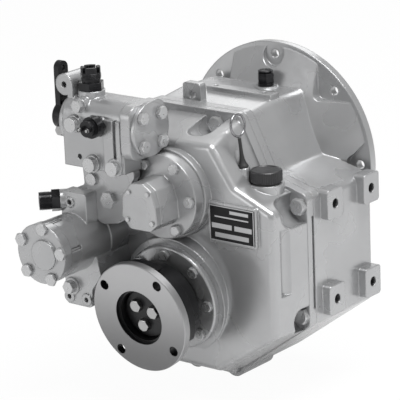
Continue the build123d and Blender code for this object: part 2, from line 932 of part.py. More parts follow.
# Shafts: each has a collar behind its front bearing and a spacer in front of its rear one
gear_end = transfer_front + gear_width
shaft_middle = [
    (-front_bearing_depth, bearing_bore),
    (-front_bearing_end, bearing_bore),
    (-front_bearing_end, collar_radius),
    (-transfer_front, collar_radius),
    (-transfer_front, shaft_radius),
    (-pinion_end - running_clearance, shaft_radius),
    (-pinion_end - running_clearance, collar_radius),
    (-rear_bearing_depth, collar_radius),
    (-rear_bearing_depth, bearing_bore),
]
with BuildPart() as input_shaft:
    turn(
        input_axial,
        (0, 0),
        (0, seal_radius - 1),
        (-1, seal_radius),
        (-front_bearing_depth, seal_radius),
        *shaft_middle,
        (-rear_bearing_end - 2, bearing_bore),
        (-rear_bearing_end - 2, 0),
    )
    slab(aft(0), teeth_outline(spline_teeth, spline_module, 90), -spline_end)

write(input_shaft.part, "input_shaft")

with BuildPart() as countershaft:
    turn(
        counter_axial,
        (-front_bearing_depth, 0),
        *shaft_middle,
        (-rear_bearing_end + 1, bearing_bore),
        (-rear_bearing_end + 1, 0),
    )

write(countershaft.part, "countershaft")


def gear_drum(axial, centre, first):
    """A transfer gear with the clutch drum that it carries."""
    slab(aft(transfer_front), teeth_outline(transfer_teeth, transfer_module, first, centre), gear_width)
    ring(axial, -drum_end, -gear_end, 0, drum_radius)
    ring(axial, -drum_end, -gear_end - drum_web, 0, drum_radius - drum_wall, mode=Mode.SUBTRACT)
    ring(axial, -drum_hub_end, -gear_end - drum_web, 0, drum_hub_radius)
    ring(axial, -drum_end, -transfer_front, 0, shaft_radius, mode=Mode.SUBTRACT)


def piston(axial):
    """A clutch piston at rest against the web of its drum."""
    ring(
        axial,
        -gear_end - drum_web - piston_thickness,
        -gear_end - drum_web,
        drum_hub_radius + sliding_clearance,
        drum_radius - drum_wall - sliding_clearance,
    )


def plates(axial, first, inner, outer):
    """Every second plate of a clutch, from the first depth on."""
    for i in range(plate_count):
        start = first + i * 2 * (plate_thickness + plate_gap)
        ring(axial, -start - plate_thickness, -start, inner, outer)


def pinion(axial, centre, first):
    """A pinion that runs free on its shaft, with the hub that carries its friction plates."""
    slab(aft(pinion_front), teeth_outline(pinion_teeth, gear_module, first, centre), gear_width)
    ring(axial, -pinion_front, -drum_hub_end - 1, 0, pinion_hub_radius)
    ring(axial, -pinion_end, -drum_hub_end - 1, 0, shaft_radius + running_clearance, mode=Mode.SUBTRACT)


steel_front = plate_front
plate_bore = pinion_hub_radius + plate_clearance
friction_front = plate_front + plate_thickness + plate_gap
backing_front = plate_front + 2 * plate_count * (plate_thickness + plate_gap)
counter_centre = (counter_x, counter_z)
transfer_direction = degrees(atan2(counter_z, counter_x))
transfer_pitch = 360 / transfer_teeth

# Input clutch: it drives the ahead pinion
with BuildPart() as input_gear_drum:
    gear_drum(input_axial, (0, 0), transfer_direction)

write(input_gear_drum.part, "input_gear_drum")

with BuildPart() as ahead_piston:
    piston(input_axial)

write(ahead_piston.part, "ahead_piston")

with BuildPart() as ahead_steel_plates:
    plates(input_axial, steel_front, plate_bore, drum_radius - drum_wall)
    ring(input_axial, -drum_end, -backing_front, plate_bore, drum_radius - drum_wall)

write(ahead_steel_plates.part, "ahead_steel_plates")

with BuildPart() as ahead_friction_plates:
    plates(input_axial, friction_front, pinion_hub_radius, drum_radius - drum_wall - plate_clearance)

write(ahead_friction_plates.part, "ahead_friction_plates")

with BuildPart() as ahead_pinion:
    pinion(input_axial, (0, 0), -90)

write(ahead_pinion.part, "ahead_pinion")

# Countershaft clutch: it drives the astern pinion
with BuildPart() as counter_gear_drum:
    gear_drum(counter_axial, counter_centre, transfer_direction + 180 + transfer_pitch / 2)

write(counter_gear_drum.part, "counter_gear_drum")

with BuildPart() as astern_piston:
    piston(counter_axial)

write(astern_piston.part, "astern_piston")

with BuildPart() as astern_steel_plates:
    plates(counter_axial, steel_front, plate_bore, drum_radius - drum_wall)
    ring(counter_axial, -drum_end, -backing_front, plate_bore, drum_radius - drum_wall)

write(astern_steel_plates.part, "astern_steel_plates")

with BuildPart() as astern_friction_plates:
    plates(counter_axial, friction_front, pinion_hub_radius, drum_radius - drum_wall - plate_clearance)

write(astern_friction_plates.part, "astern_friction_plates")

# The astern pinion is turned so that it meets the bull gear's teeth where they already are
bull_pitch = 360 / bull_teeth
bull_first = 90 + bull_pitch / 2
counter_rise = (counter_z - output_face_height - bull_distance * tilt_sin) * tilt_cos
counter_rise -= (pinion_centre_y - bull_centre_y) * tilt_sin
bull_direction = degrees(atan2(counter_rise, counter_x))
bull_lead = ((bull_direction - bull_first) / bull_pitch) % 1
pinion_direction = degrees(atan2(mesh_height - counter_z, -counter_x))
astern_first = pinion_direction + (0.5 + bull_lead) * 360 / pinion_teeth
with BuildPart() as astern_pinion:
    pinion(counter_axial, counter_centre, astern_first)

write(astern_pinion.part, "astern_pinion")

# Output shaft, with its bull gear between the bearings
with BuildPart() as output_shaft:
    turn(
        output_axial,
        (well_depth + 1, 0),
        (well_depth + 1, output_nose_radius),
        (output_rear_bearing, output_nose_radius),
        (output_rear_bearing, output_journal_radius),
        (output_rear_end, output_journal_radius),
        (output_rear_end, output_shaft_radius),
        (output_front_bearing, output_shaft_radius),
        (output_front_bearing, output_journal_radius),
        (output_front_end - 1, output_journal_radius),
        (output_front_end - 1, 0),
    )
    bores(along_output(well_depth + 1), washer_bolts, bolt_radius + bolt_clearance, thread_depth + 1)

write(output_shaft.part, "output_shaft")


def bull_section(distance):
    """The bull gear's edge at a distance along the output shaft: smaller further forward."""
    scale = 1 - (distance - bull_distance) * slope / bull_radius
    with BuildSketch(along_output(distance)) as edge:
        with BuildLine():
            Polyline(*teeth_outline(bull_teeth, gear_module * scale, bull_first), close=True)
        make_face()
    return edge.sketch


bull_front = bull_distance + gear_width / 2
bull_back = bull_distance - gear_width / 2
with BuildPart() as bull_gear:
    loft(sections=[bull_section(bull_back), bull_section(bull_front)], ruled=True)
    recesses = [(bull_back, bull_back + bull_recess_depth), (bull_front - bull_recess_depth, bull_front)]
    for start, end in recesses:
        ring(output_axial, start, end, bull_recess_inner, bull_recess_outer, mode=Mode.SUBTRACT)
    ring(output_axial, bull_back, bull_front, 0, output_shaft_radius, mode=Mode.SUBTRACT)

write(bull_gear.part, "bull_gear")

# Output coupling: spot-faced behind its holes, with a pilot recess and a well for its bolts
with BuildPart() as output_coupling:
    turn(
        output_axial,
        (0, pilot_radius),
        (0, coupling_radius - 1),
        (1, coupling_radius),
        (coupling_thickness, coupling_radius),
        (coupling_thickness, coupling_back_radius),
        (coupling_back_end, coupling_back_radius),
        (coupling_back_end, coupling_drum_radius),
        (coupling_drum_end, coupling_drum_radius),
        (coupling_drum_end, coupling_hub_radius),
        (output_rear_bearing, coupling_hub_radius),
        (output_rear_bearing, output_nose_radius),
        (well_depth, output_nose_radius),
        (well_depth, well_radius),
        (pilot_depth, well_radius),
        (pilot_depth, pilot_radius),
    )
    bores(along_output(0), coupling_holes, coupling_hole_radius, coupling_thickness)
    discs(
        along_output(coupling_back_end),
        coupling_holes,
        spot_recess_radius,
        coupling_back_end - coupling_thickness,
        mode=Mode.SUBTRACT,
    )

write(output_coupling.part, "output_coupling")

washer_face = well_depth - washer_thickness
with BuildPart() as coupling_washer:
    ring(output_axial, washer_face, well_depth, 0, washer_radius)
    bores(along_output(washer_face), washer_bolts, bolt_radius + bolt_clearance, washer_thickness)

write(coupling_washer.part, "coupling_washer")

with BuildPart() as coupling_bolts:
    bolts(along_output(washer_face), washer_bolts, washer_thickness + thread_depth)

write(coupling_bolts.part, "coupling_bolts")

# Oil pump: its flange, its gear chamber and the cover that closes it
pump_outline = [(-11, 23), (5, 25), (17, 17), (22, 0), (23, -20), (14, -28), (-14, -28), (-25, -15)]
pump_outline.append((-23, 8))
pump_offset = pump_module * pump_teeth
pump_tip = pump_module * (pump_teeth / 2 + addendum_share)
pump_axial = Plane(origin=(0, 0, -pump_offset), x_dir=(0, 1, 0), z_dir=(1, 0, 0))
pump_axes = [(0, 0), (0, -pump_offset)]
pump_screws = [(-17, -18), (17, -18), (-14, 13), (12, 14)]
pump_flange_end = pump_boss_face + pump_flange_thickness
journal_bore = pump_journal_radius + running_clearance
with BuildPart() as pump_body:
    ring(input_axial, -pump_flange_end, -pump_boss_face, 0, pump_flange_radius)
    ring(input_axial, -pump_boss_face, -rear_bearing_end - 2, 0, pump_spigot_radius - bolt_clearance)
    slab(aft(pump_flange_end), pump_outline, pump_split - pump_flange_end, edge=block_edge_radius)
    chamber_depth = pump_split - pump_gear_depth + running_clearance
    bores(aft(pump_split), pump_axes, pump_tip + running_clearance, chamber_depth)
    bores(aft(pump_split), [pump_axes[0]], journal_bore, pump_end)
    bores(aft(pump_split), [pump_axes[1]], journal_bore, pump_split - pump_boss_face)
    bores(aft(pump_flange_end), pump_bolts, bolt_radius + bolt_clearance, pump_flange_thickness)
    bores(aft(pump_split), pump_screws, small_bolt_radius / 2 + bolt_clearance, thread_depth)

write(pump_body.part, "pump_body")

with BuildPart() as pump_cover:
    slab(aft(pump_split), pump_outline, pump_end - pump_split, edge=block_edge_radius)
    bores(aft(pump_split), pump_axes, journal_bore, -wall / 2)
    bores(aft(pump_end), pump_screws, small_bolt_radius / 2 + bolt_clearance, pump_end - pump_split)

write(pump_cover.part, "pump_cover")

with BuildPart() as pump_cover_screws:
    bolts(
        aft(pump_end),
        pump_screws,
        pump_end - pump_split + thread_depth - 1,
        radius=small_bolt_radius / 2,
        across=small_head_across / 2,
        head=small_head_height / 2,
    )

write(pump_cover_screws.part, "pump_cover_screws")

with BuildPart() as pump_mounting_bolts:
    bolts(
        aft(pump_flange_end), pump_bolts, pump_flange_thickness + thread_depth, across=small_head_across + 1
    )

write(pump_mounting_bolts.part, "pump_mounting_bolts")

# Pump gears: the drive gear's stub meets the end of the input shaft
with BuildPart() as pump_drive_gear:
    ring(input_axial, -pump_split - 3, -rear_bearing_end - 2, 0, pump_journal_radius)
    slab(aft(pump_gear_depth), teeth_outline(pump_teeth, pump_module, -90), pump_gear_width)

write(pump_drive_gear.part, "pump_drive_gear")

with BuildPart() as pump_driven_gear:
    ring(pump_axial, -pump_split - 3, -pump_boss_face - 3, 0, pump_journal_radius)
    slab(
        aft(pump_gear_depth),
        teeth_outline(pump_teeth, pump_module, 90 + 180 / pump_teeth, pump_axes[1]),
        pump_gear_width,
    )

write(pump_driven_gear.part, "pump_driven_gear")


def starboard(x):
    """A plane across the valve that faces starboard: its own x and y are Y and Z."""
    return Plane(origin=(x, 0, 0), x_dir=(0, 1, 0), z_dir=(1, 0, 0))


# Control valve: a block across the gearbox with a flange for its round end cover
spool_place = [(-valve_centre_depth, valve_centre_height)]
valve_section = box(-valve_aft, -valve_front, valve_bottom, valve_top)
flange_section = box(-valve_aft - valve_flange_overhang, -valve_front, valve_flange_bottom, valve_top)
aft_plugs = [(-89, 79), (-65, 37), (-33, 37)]
hex_plug = [(-82, 100)]
sensor_place = [(-54, 82)]
sensor_posts = [(-59.25, 82), (-48.75, 82)]
cable_place = [(cable_boss_x, cable_boss_height)]
adapter_place = [(adapter_x, -adapter_depth)]
spine_height = valve_centre_height + valve_spine_rise
pump_room = pump_boss_radius + 2
half_spacing = valve_cover_bolt_spacing / 2
cover_screws = [
    (i * half_spacing - valve_centre_depth, j * half_spacing + valve_centre_height)
    for i, j in ((1, 1), (1, -1), (-1, -1), (-1, 1))
]
with BuildPart() as valve_body:
    with BuildSketch(starboard(valve_port)) as block:
        with BuildLine():
            Polyline(*valve_section, close=True)
        make_face()
        fillet(block.vertices().group_by(Axis.Y)[-1], radius=valve_edge_radius)
    extrude(block.sketch, amount=valve_starboard - valve_port)
    slab(
        starboard(valve_starboard),
        flange_section,
        valve_flange_end - valve_starboard,
        edge=valve_flange_edge,
    )
    discs(starboard(valve_port), spool_place, valve_disc_radius, -valve_disc_thickness)
    discs(aft(cable_boss_end), cable_place, cable_boss_radius, cable_boss_start - cable_boss_end)
    slab(
        aft(cable_boss_end),
        box(valve_port, cable_boss_x + cable_boss_radius, spine_height, cable_boss_height),
        cable_boss_start - cable_boss_end,
    )
    discs(level(adapter_seat), adapter_place, adapter_boss_radius, valve_centre_height - adapter_seat)
    slab(aft(valve_aft), box(*valve_rib, valve_bottom, spine_height), valve_rib_height)
    slab(
        aft(valve_aft + valve_rib_height),
        box(*valve_rib_slot, valve_rib_slot_foot, spine_height),
        -valve_rib_slot_depth,
        mode=Mode.SUBTRACT,
    )
    discs(aft(valve_aft), sensor_place + aft_plugs, plug_boss_radius, plug_boss_height)
    discs(aft(valve_aft), hex_plug, plug_radius, -hex_plug_boss_depth)
    bores(aft(cable_boss_end), cable_place, cable_hole_radius, cable_boss_end - valve_front)
    ring(input_axial, -pump_flange_end - valve_pump_gap, -rear_wall_depth, 0, pump_room, mode=Mode.SUBTRACT)
    bores(aft(valve_aft), [vent_place], vent_radius, vent_depth)
    bores(
        starboard(valve_flange_end),
        spool_place,
        spool_radius + sliding_clearance,
        valve_flange_end - valve_port + valve_disc_thickness,
    )
    bores(starboard(valve_flange_end), cover_screws, small_bolt_radius + bolt_clearance, thread_depth + 1)

write(valve_body.part, "valve_body")

with BuildPart() as valve_end_cover:
    discs(starboard(valve_flange_end), spool_place, valve_cover_radius, valve_cover_thickness)
    bores(
        starboard(valve_flange_end + valve_cover_thickness),
        cover_screws,
        small_bolt_radius + bolt_clearance,
        valve_cover_thickness,
    )

write(valve_end_cover.part, "valve_end_cover")

with BuildPart() as valve_cover_bolts:
    bolts(
        starboard(valve_flange_end + valve_cover_thickness),
        cover_screws,
        valve_cover_thickness + thread_depth,
        radius=small_bolt_radius,
        across=bolt_head_across,
    )

write(valve_cover_bolts.part, "valve_cover_bolts")

# Oil pressure sensor
sensor_seat = valve_aft + plug_boss_height
collar_seat = sensor_seat + sensor_foot_height
body_seat = collar_seat + sensor_collar_height
with BuildPart() as pressure_sensor:
    hexagons(aft(sensor_seat), sensor_place, sensor_across, sensor_foot_height)
    discs(aft(collar_seat), sensor_place, sensor_collar_radius, sensor_collar_height)
    discs(aft(body_seat), sensor_place, sensor_body_radius, sensor_body_height)
    discs(aft(body_seat + sensor_body_height), sensor_posts, sensor_post_radius, sensor_post_height)

write(pressure_sensor.part, "pressure_sensor")

# Upright adapter with a slotted crown
crown_foot = adapter_seat + adapter_hex_height + adapter_neck_height
adapter_top = crown_foot + adapter_crown_height
with BuildPart() as hydraulic_adapter:
    hexagons(level(adapter_seat), adapter_place, adapter_across, adapter_hex_height)
    neck_seat = adapter_seat + adapter_hex_height
    discs(level(neck_seat), adapter_place, adapter_crown_radius - 1, adapter_neck_height)
    discs(level(crown_foot), adapter_place, adapter_crown_radius, adapter_crown_height)
    bores(level(adapter_top), adapter_place, adapter_bore, adapter_bore_depth)
    with BuildSketch(level(adapter_top)) as slots:
        with Locations(*adapter_place):
            Rectangle(3 * adapter_crown_radius, adapter_slot_width)
            Rectangle(adapter_slot_width, 3 * adapter_crown_radius)
    extrude(slots.sketch, amount=-adapter_slot_depth, mode=Mode.SUBTRACT)

write(hydraulic_adapter.part, "hydraulic_adapter")

# Selector spool, which turns with the shift lever on its port end
lever_hub_start = valve_port - valve_disc_thickness - lever_gap
lever_arm_end = lever_hub_start - lever_hub_width - lever_thickness
with BuildPart() as selector_spool:
    discs(starboard(lever_arm_end + 1), spool_place, spool_radius, valve_flange_end - 1 - lever_arm_end - 1)
    for x in spool_waists:
        with BuildSketch(starboard(x)) as waist:
            with Locations(*spool_place):
                Circle(spool_radius + 1)
                Circle(spool_waist_radius, mode=Mode.SUBTRACT)
        extrude(waist.sketch, amount=spool_waist_length, mode=Mode.SUBTRACT)

write(selector_spool.part, "selector_spool")

clamp_x = lever_hub_start - lever_hub_width / 2
clamp_place = [(clamp_x, clamp_height)]
clamp_lug = box(
    clamp_x - clamp_half_width,
    clamp_x + clamp_half_width,
    clamp_height - clamp_below,
    clamp_height + clamp_above,
)
lever_tip = (-valve_centre_depth, valve_centre_height + lever_reach)
lever_middle = (-valve_centre_depth, valve_centre_height + lever_reach / 2)
lever_hole = (-valve_centre_depth, valve_centre_height + lever_reach - lever_hole_spacing)
clamp_length = 2 * (clamp_depth - valve_centre_depth)
with BuildPart() as shift_lever:
    discs(starboard(lever_hub_start), spool_place, lever_hub_radius, -lever_hub_width - lever_thickness)
    with BuildSketch(starboard(lever_arm_end)) as arm:
        with Locations(lever_tip, lever_middle):
            Circle(lever_tip_radius)
        with Locations(lever_middle):
            Rectangle(2 * lever_tip_radius, lever_reach)
    extrude(arm.sketch, amount=lever_thickness)
    bores(starboard(lever_arm_end), [lever_tip, lever_hole], lever_hole_radius, -lever_thickness)
    slab(aft(clamp_depth), clamp_lug, -clamp_length, edge=clamp_edge)
    bores(starboard(lever_arm_end), spool_place, spool_radius, -lever_hub_width - lever_thickness)
    bores(aft(clamp_depth), clamp_place, small_bolt_radius + bolt_clearance, clamp_length)

write(shift_lever.part, "shift_lever")

with BuildPart() as lever_clamp_bolt:
    bolts(
        aft(clamp_depth),
        clamp_place,
        clamp_length,
        radius=small_bolt_radius,
        across=small_head_across,
        head=small_head_height,
    )

write(lever_clamp_bolt.part, "lever_clamp_bolt")

# Valve base: the cast web that joins the valve, the pump side and the filter
base_outline = [
    (-98, valve_bottom),
    (-24, valve_bottom),
    (-24, -20),
    (-50, -34),
    (-70, -38),
    (-112, -26),
    (-114, -4),
    (-96, 4),
]
with BuildPart() as valve_base:
    slab(aft(rear_wall_depth), base_outline, base_depth - rear_wall_depth, edge=block_edge_radius)
    ring(input_axial, -pump_flange_end - valve_pump_gap, -rear_wall_depth, 0, pump_room, mode=Mode.SUBTRACT)
    ring(input_axial, -base_depth, -rear_wall_depth, 0, base_hollow_radius, mode=Mode.SUBTRACT)
    ring(filter_axial, -base_depth, -rear_wall_depth, 0, filter_radius + base_clearance, mode=Mode.SUBTRACT)

write(valve_base.part, "valve_base")

# Filter housing, with the lower boss block and the slanted fitting boss cast on
block_face = base_depth + block_rise
foot_face = base_depth + foot_rise
fitting_plane = Plane(origin=(-121, -foot_face, -14), x_dir=(0, 0, 1), z_dir=(-1, -1, 0))
filter_cap_bolts_at = [
    (filter_x + x, filter_height + z) for x, z in around(5, filter_cap_bolt_circle, first=82)
]
foot_ears = [(-113, -125), (-88, -125)]
ringed_hole = [(-103, -13)]
with BuildPart() as filter_housing:
    ring(filter_axial, -filter_seam, -rear_wall_depth, 0, filter_radius)
    ring(filter_axial, -filter_end, -filter_seam, 0, filter_radius - 1)
    slab(
        aft(rear_wall_depth),
        [(-120, -86), (-72, -70), (-66, -94), (-80, -112), (-82, -134), (-118, -134)],
        foot_face - rear_wall_depth,
        edge=block_edge_radius,
    )
    discs(aft(foot_face), [filter_plug_place], plug_boss_radius, foot_boss_height)
    discs(aft(foot_face), foot_ears, foot_ear_radius, foot_ear_height)
    slab(aft(base_depth), box(-116, -80, -40, -1), block_face - base_depth, edge=block_edge)
    discs(aft(block_face), ringed_hole, hole_ring_radius, hole_ring_height)
    discs(fitting_plane, [(0, 0)], fitting_boss_radius, -fitting_boss_depth)
    ring(filter_axial, -filter_end, -rear_wall_depth - wall, 0, filter_bore, mode=Mode.SUBTRACT)
    bores(fitting_plane, [(0, 0)], fitting_bore, fitting_boss_bore_depth)
    bores(aft(block_face + hole_ring_height), ringed_hole, ringed_hole_radius, ringed_hole_depth)
    bores(aft(foot_face + foot_ear_height), foot_ears, foot_ear_hole_radius, foot_ear_hole_depth)
    bores(aft(filter_end), filter_cap_bolts_at, small_bolt_radius + bolt_clearance, thread_depth + 1)

write(filter_housing.part, "filter_housing")

with BuildPart() as filter_end_cap:
    ring(filter_axial, -filter_end - filter_cap_thickness, -filter_end, 0, filter_radius)
    cap_plug_place = [(filter_x + cap_plug_offset, filter_height)]
    discs(aft(filter_end + filter_cap_thickness), cap_plug_place, cap_plug_radius, cap_plug_height)
    bores(
        aft(filter_end + filter_cap_thickness),
        filter_cap_bolts_at,
        small_bolt_radius + bolt_clearance,
        filter_cap_thickness,
    )

write(filter_end_cap.part, "filter_end_cap")

with BuildPart() as filter_cap_bolts:
    bolts(
        aft(filter_end + filter_cap_thickness),
        filter_cap_bolts_at,
        filter_cap_thickness + thread_depth,
        radius=small_bolt_radius,
        across=bolt_head_across,
        head=small_head_height,
    )

write(filter_cap_bolts.part, "filter_cap_bolts")

with BuildPart() as filter_element:
    ring(filter_axial, -filter_end, -rear_wall_depth - wall, filter_element_bore, filter_element_radius)

write(filter_element.part, "filter_element")

# Plugs that close the oil ways of the valve, its base and the filter housing
with BuildPart() as oil_plugs:
    discs(aft(sensor_seat), aft_plugs, plug_radius, plug_height)
    hexagons(aft(valve_aft), hex_plug, hex_plug_across, plug_height)
    hexagons(aft(base_depth), [(-60, -8)], base_plug_across, plug_height)
    discs(aft(base_depth), [(-84, 12)], base_disc_radius, plug_boss_height)
    hexagons(aft(block_face), [filter_plug_place], filter_plug_across, filter_plug_height)

write(oil_plugs.part, "oil_plugs")

# Oil line fitting on the slanted boss
with BuildPart() as oil_line_fitting:
    fitting_end = fitting_hex_height + fitting_neck_height
    hexagons(fitting_plane, [(0, 0)], fitting_across, fitting_hex_height)
    discs(fitting_plane.offset(fitting_hex_height), [(0, 0)], fitting_neck_radius, fitting_neck_height)
    bores(fitting_plane.offset(fitting_end), [(0, 0)], fitting_bore, fitting_length)

write(oil_line_fitting.part, "oil_line_fitting")

# Filler gasket and cap on the rear housing's deck
filler_place = [(filler_x, -filler_depth)]
cap_seat = filler_seat + gasket_thickness
with BuildPart() as filler_gasket:
    discs(level(filler_seat), filler_place, filler_cap_radius - 2, gasket_thickness)
    bores(level(cap_seat), filler_place, filler_plug_radius + running_clearance, gasket_thickness)

write(filler_gasket.part, "filler_gasket")

with BuildPart() as filler_cap:
    discs(level(cap_seat), filler_place, filler_cap_radius, filler_cap_height)
    discs(level(cap_seat), filler_place, filler_plug_radius, -gasket_thickness - filler_plug_length)

write(filler_cap.part, "filler_cap")

# Dipstick: wire with a loop, a rubber stopper and a flat blade, leaning to port
with BuildPart() as dipstick:
    discs(dipstick_plane.offset(dipstick_stem), [(0, 0)], dipstick_wire, -dipstick_stem - dipstick_reach)
    with BuildSketch(dipstick_plane.offset(dipstick_stem + dipstick_loop)) as wire:
        with Locations((dipstick_loop, 0)):
            Circle(dipstick_wire)
    loop_axis = Axis(dipstick_plane.offset(dipstick_stem + dipstick_loop).origin, dipstick_plane.y_dir)
    revolve(wire.sketch, axis=loop_axis)

write(dipstick.part, "dipstick")

with BuildPart() as dipstick_stopper:
    stopper_axial = Plane(
        origin=dipstick_plane.origin, x_dir=dipstick_plane.z_dir, z_dir=dipstick_plane.x_dir
    )
    flare_end = stopper_height * stopper_flare_share
    with BuildSketch(stopper_axial) as flare:
        with BuildLine():
            Polyline((stopper_foot, stopper_radius), (0, stopper_radius), (0, 0), (stopper_height, 0))
            Polyline((stopper_height, 0), (stopper_height, stopper_neck), (flare_end, stopper_neck))
            ThreePointArc(
                (flare_end, stopper_neck),
                (
                    flare_end * stopper_bend_share,
                    stopper_neck + (stopper_radius - stopper_neck) * stopper_bend_rise,
                ),
                (stopper_foot, stopper_radius),
            )
        make_face()
    revolve(flare.sketch, axis=Axis(stopper_axial.origin, stopper_axial.x_dir))
    discs(dipstick_plane, [(0, 0)], stopper_spigot, -stopper_spigot_length)
    bores(dipstick_plane.offset(stopper_height), [(0, 0)], dipstick_wire, stopper_height + wall)

write(dipstick_stopper.part, "dipstick_stopper")

# Breather on the front housing
with BuildPart() as breather:
    discs(level(breather_seat), breather_place, breather_radius - 2, breather_neck_height)
    discs(
        level(breather_seat + breather_neck_height),
        breather_place,
        breather_radius,
        breather_height - breather_neck_height,
    )

write(breather.part, "breather")

with BuildPart() as drain_plug:
    hexagons(level(drain_seat), [(0, -drain_depth)], drain_head_across, -drain_head_height)
    discs(level(drain_seat), [(0, -drain_depth)], drain_thread_radius - bolt_clearance, drain_thread_length)

write(drain_plug.part, "drain_plug")

# Bare name plate with its rivets
plate_rivets = [
    (plate_x + i * (plate_width / 2 - 4), plate_centre_height + j * (plate_height / 2 - 4))
    for i in (1, -1)
    for j in (1, -1)
]
with BuildPart() as name_plate:
    slab(
        aft(plate_pad_face),
        box(
            plate_x - plate_width / 2,
            plate_x + plate_width / 2,
            plate_centre_height - plate_height / 2,
            plate_centre_height + plate_height / 2,
        ),
        plate_thickness,
    )

write(name_plate.part, "name_plate")

with BuildPart() as name_plate_rivets:
    discs(aft(plate_pad_face + plate_thickness), plate_rivets, rivet_radius, 0.8)

write(name_plate_rivets.part, "name_plate_rivets")
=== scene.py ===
import json
from math import cos, pi, radians, sin, sqrt

import bmesh
import bpy
from mathutils import Matrix, Vector


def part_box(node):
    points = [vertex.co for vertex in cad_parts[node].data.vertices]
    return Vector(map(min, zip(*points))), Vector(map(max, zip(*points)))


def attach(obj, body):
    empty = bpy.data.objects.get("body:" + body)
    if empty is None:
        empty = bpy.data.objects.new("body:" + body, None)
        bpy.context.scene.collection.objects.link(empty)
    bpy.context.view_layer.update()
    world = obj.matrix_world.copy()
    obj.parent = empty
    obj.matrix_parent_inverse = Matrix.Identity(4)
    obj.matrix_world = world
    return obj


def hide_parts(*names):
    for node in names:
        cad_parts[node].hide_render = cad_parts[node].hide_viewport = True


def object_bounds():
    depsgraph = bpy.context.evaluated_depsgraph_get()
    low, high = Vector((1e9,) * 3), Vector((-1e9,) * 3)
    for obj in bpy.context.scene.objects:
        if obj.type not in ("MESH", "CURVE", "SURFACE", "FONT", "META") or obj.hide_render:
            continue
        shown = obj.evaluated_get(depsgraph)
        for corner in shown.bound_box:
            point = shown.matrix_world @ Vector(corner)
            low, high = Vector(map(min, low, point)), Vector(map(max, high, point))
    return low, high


# Looks for the marine gearbox. Metres, X to starboard, Y forward to the engine, Z up.
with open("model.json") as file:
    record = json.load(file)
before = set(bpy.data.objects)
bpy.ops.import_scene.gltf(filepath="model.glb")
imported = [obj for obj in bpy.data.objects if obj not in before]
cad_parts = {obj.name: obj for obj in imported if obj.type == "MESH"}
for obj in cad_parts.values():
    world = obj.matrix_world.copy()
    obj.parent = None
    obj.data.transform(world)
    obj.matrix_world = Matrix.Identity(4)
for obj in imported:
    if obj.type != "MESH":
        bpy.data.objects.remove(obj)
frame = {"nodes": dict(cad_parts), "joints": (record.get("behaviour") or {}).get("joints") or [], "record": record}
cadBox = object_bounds()
nodes = frame["nodes"]
joints = {joint["name"]: joint for joint in frame["joints"]}
mounts = {mount["name"]: mount for mount in frame["record"]["mounts"]}
slotOf = {part["node"]: part["material_slot"] for part in frame["record"]["subparts"]}
mm = 0.001
aft = Vector((0, -1, 0))
up = Vector((0, 0, 1))
shaftForward = Vector(joints["output_spin"]["axis"])  # the output shaft points down as it goes aft
couplingCentre = Vector(joints["output_spin"]["pos_m"])
print("frame loaded with", len(nodes), "nodes")


class Wire:
    # one socket of a material; sums on it add Math nodes
    def __init__(self, tree, socket=None):
        self.tree = tree
        self.socket = socket

    def node(self, kind, settings=None, sockets=None, output=0):
        made = self.tree.nodes.new("ShaderNode" + kind)
        for name, value in (settings or {}).items():
            setattr(made, name, value)
        for key, value in (sockets or {}).items():
            if isinstance(value, Wire):
                self.tree.links.new(value.socket, made.inputs[key])
            else:
                made.inputs[key].default_value = value
        return Wire(self.tree, made.outputs[output] if made.outputs else None)

    def sum(self, operation, first, second):
        return self.node("Math", {"operation": operation}, {0: first, 1: second})

    def __add__(self, other):
        return self.sum("ADD", self, other)

    def __radd__(self, other):
        return self.sum("ADD", other, self)

    def __sub__(self, other):
        return self.sum("SUBTRACT", self, other)

    def __rsub__(self, other):
        return self.sum("SUBTRACT", other, self)

    def __mul__(self, other):
        return self.sum("MULTIPLY", self, other)

    def __rmul__(self, other):
        return self.sum("MULTIPLY", other, self)

    def sine(self):
        return self.node("Math", {"operation": "SINE"}, {0: self})


def startMaterial(name):
    material = bpy.data.materials.new(name)
    material.use_nodes = True
    material.node_tree.nodes.clear()
    start = Wire(material.node_tree)
    return material, start, start.node("TexCoord", output="Object")


def finishMaterial(material, start, sockets):
    shader = start.node("BsdfPrincipled", {}, sockets)
    start.node("OutputMaterial", {}, {"Surface": shader})
    return material


def noise(place, scale, detail=2.0):
    return place.node("TexNoise", {}, {"Vector": place, "Scale": scale, "Detail": detail})


def ramp(value, low, high):  # 0 below low, 1 above high, smooth between
    sockets = {"Value": value, "From Min": low, "From Max": high}
    return value.node("MapRange", {"interpolation_type": "SMOOTHSTEP"}, sockets)


def blend(mask, first, second):  # first colour where the mask is 0
    return mask.node("Mix", {"data_type": "RGBA"}, {0: mask, 6: first, 7: second}, 2)


def vector(operation, first, second, output=0):
    return first.node("VectorMath", {"operation": operation}, {0: first, 1: second}, output)


def fromAxis(place, pivot, axis):  # how far along an axis a point lies, and how far out from it
    offset = vector("SUBTRACT", place, pivot)
    along = vector("DOT_PRODUCT", offset, axis, "Value")
    foot = place.node("VectorMath", {"operation": "SCALE"}, {0: axis, "Scale": along})
    return along, vector("DISTANCE", offset, foot, "Value")


def bump(height, depth, under=None):
    sockets = {"Height": height, "Distance": depth, "Strength": 1.0}
    if under:
        sockets["Normal"] = under
    return height.node("Bump", {}, sockets)


def roundedEdges(start, radius):  # softens the light on sharp edges as a cast or broken edge does
    return start.node("Bevel", {"samples": 6}, {"Radius": radius})


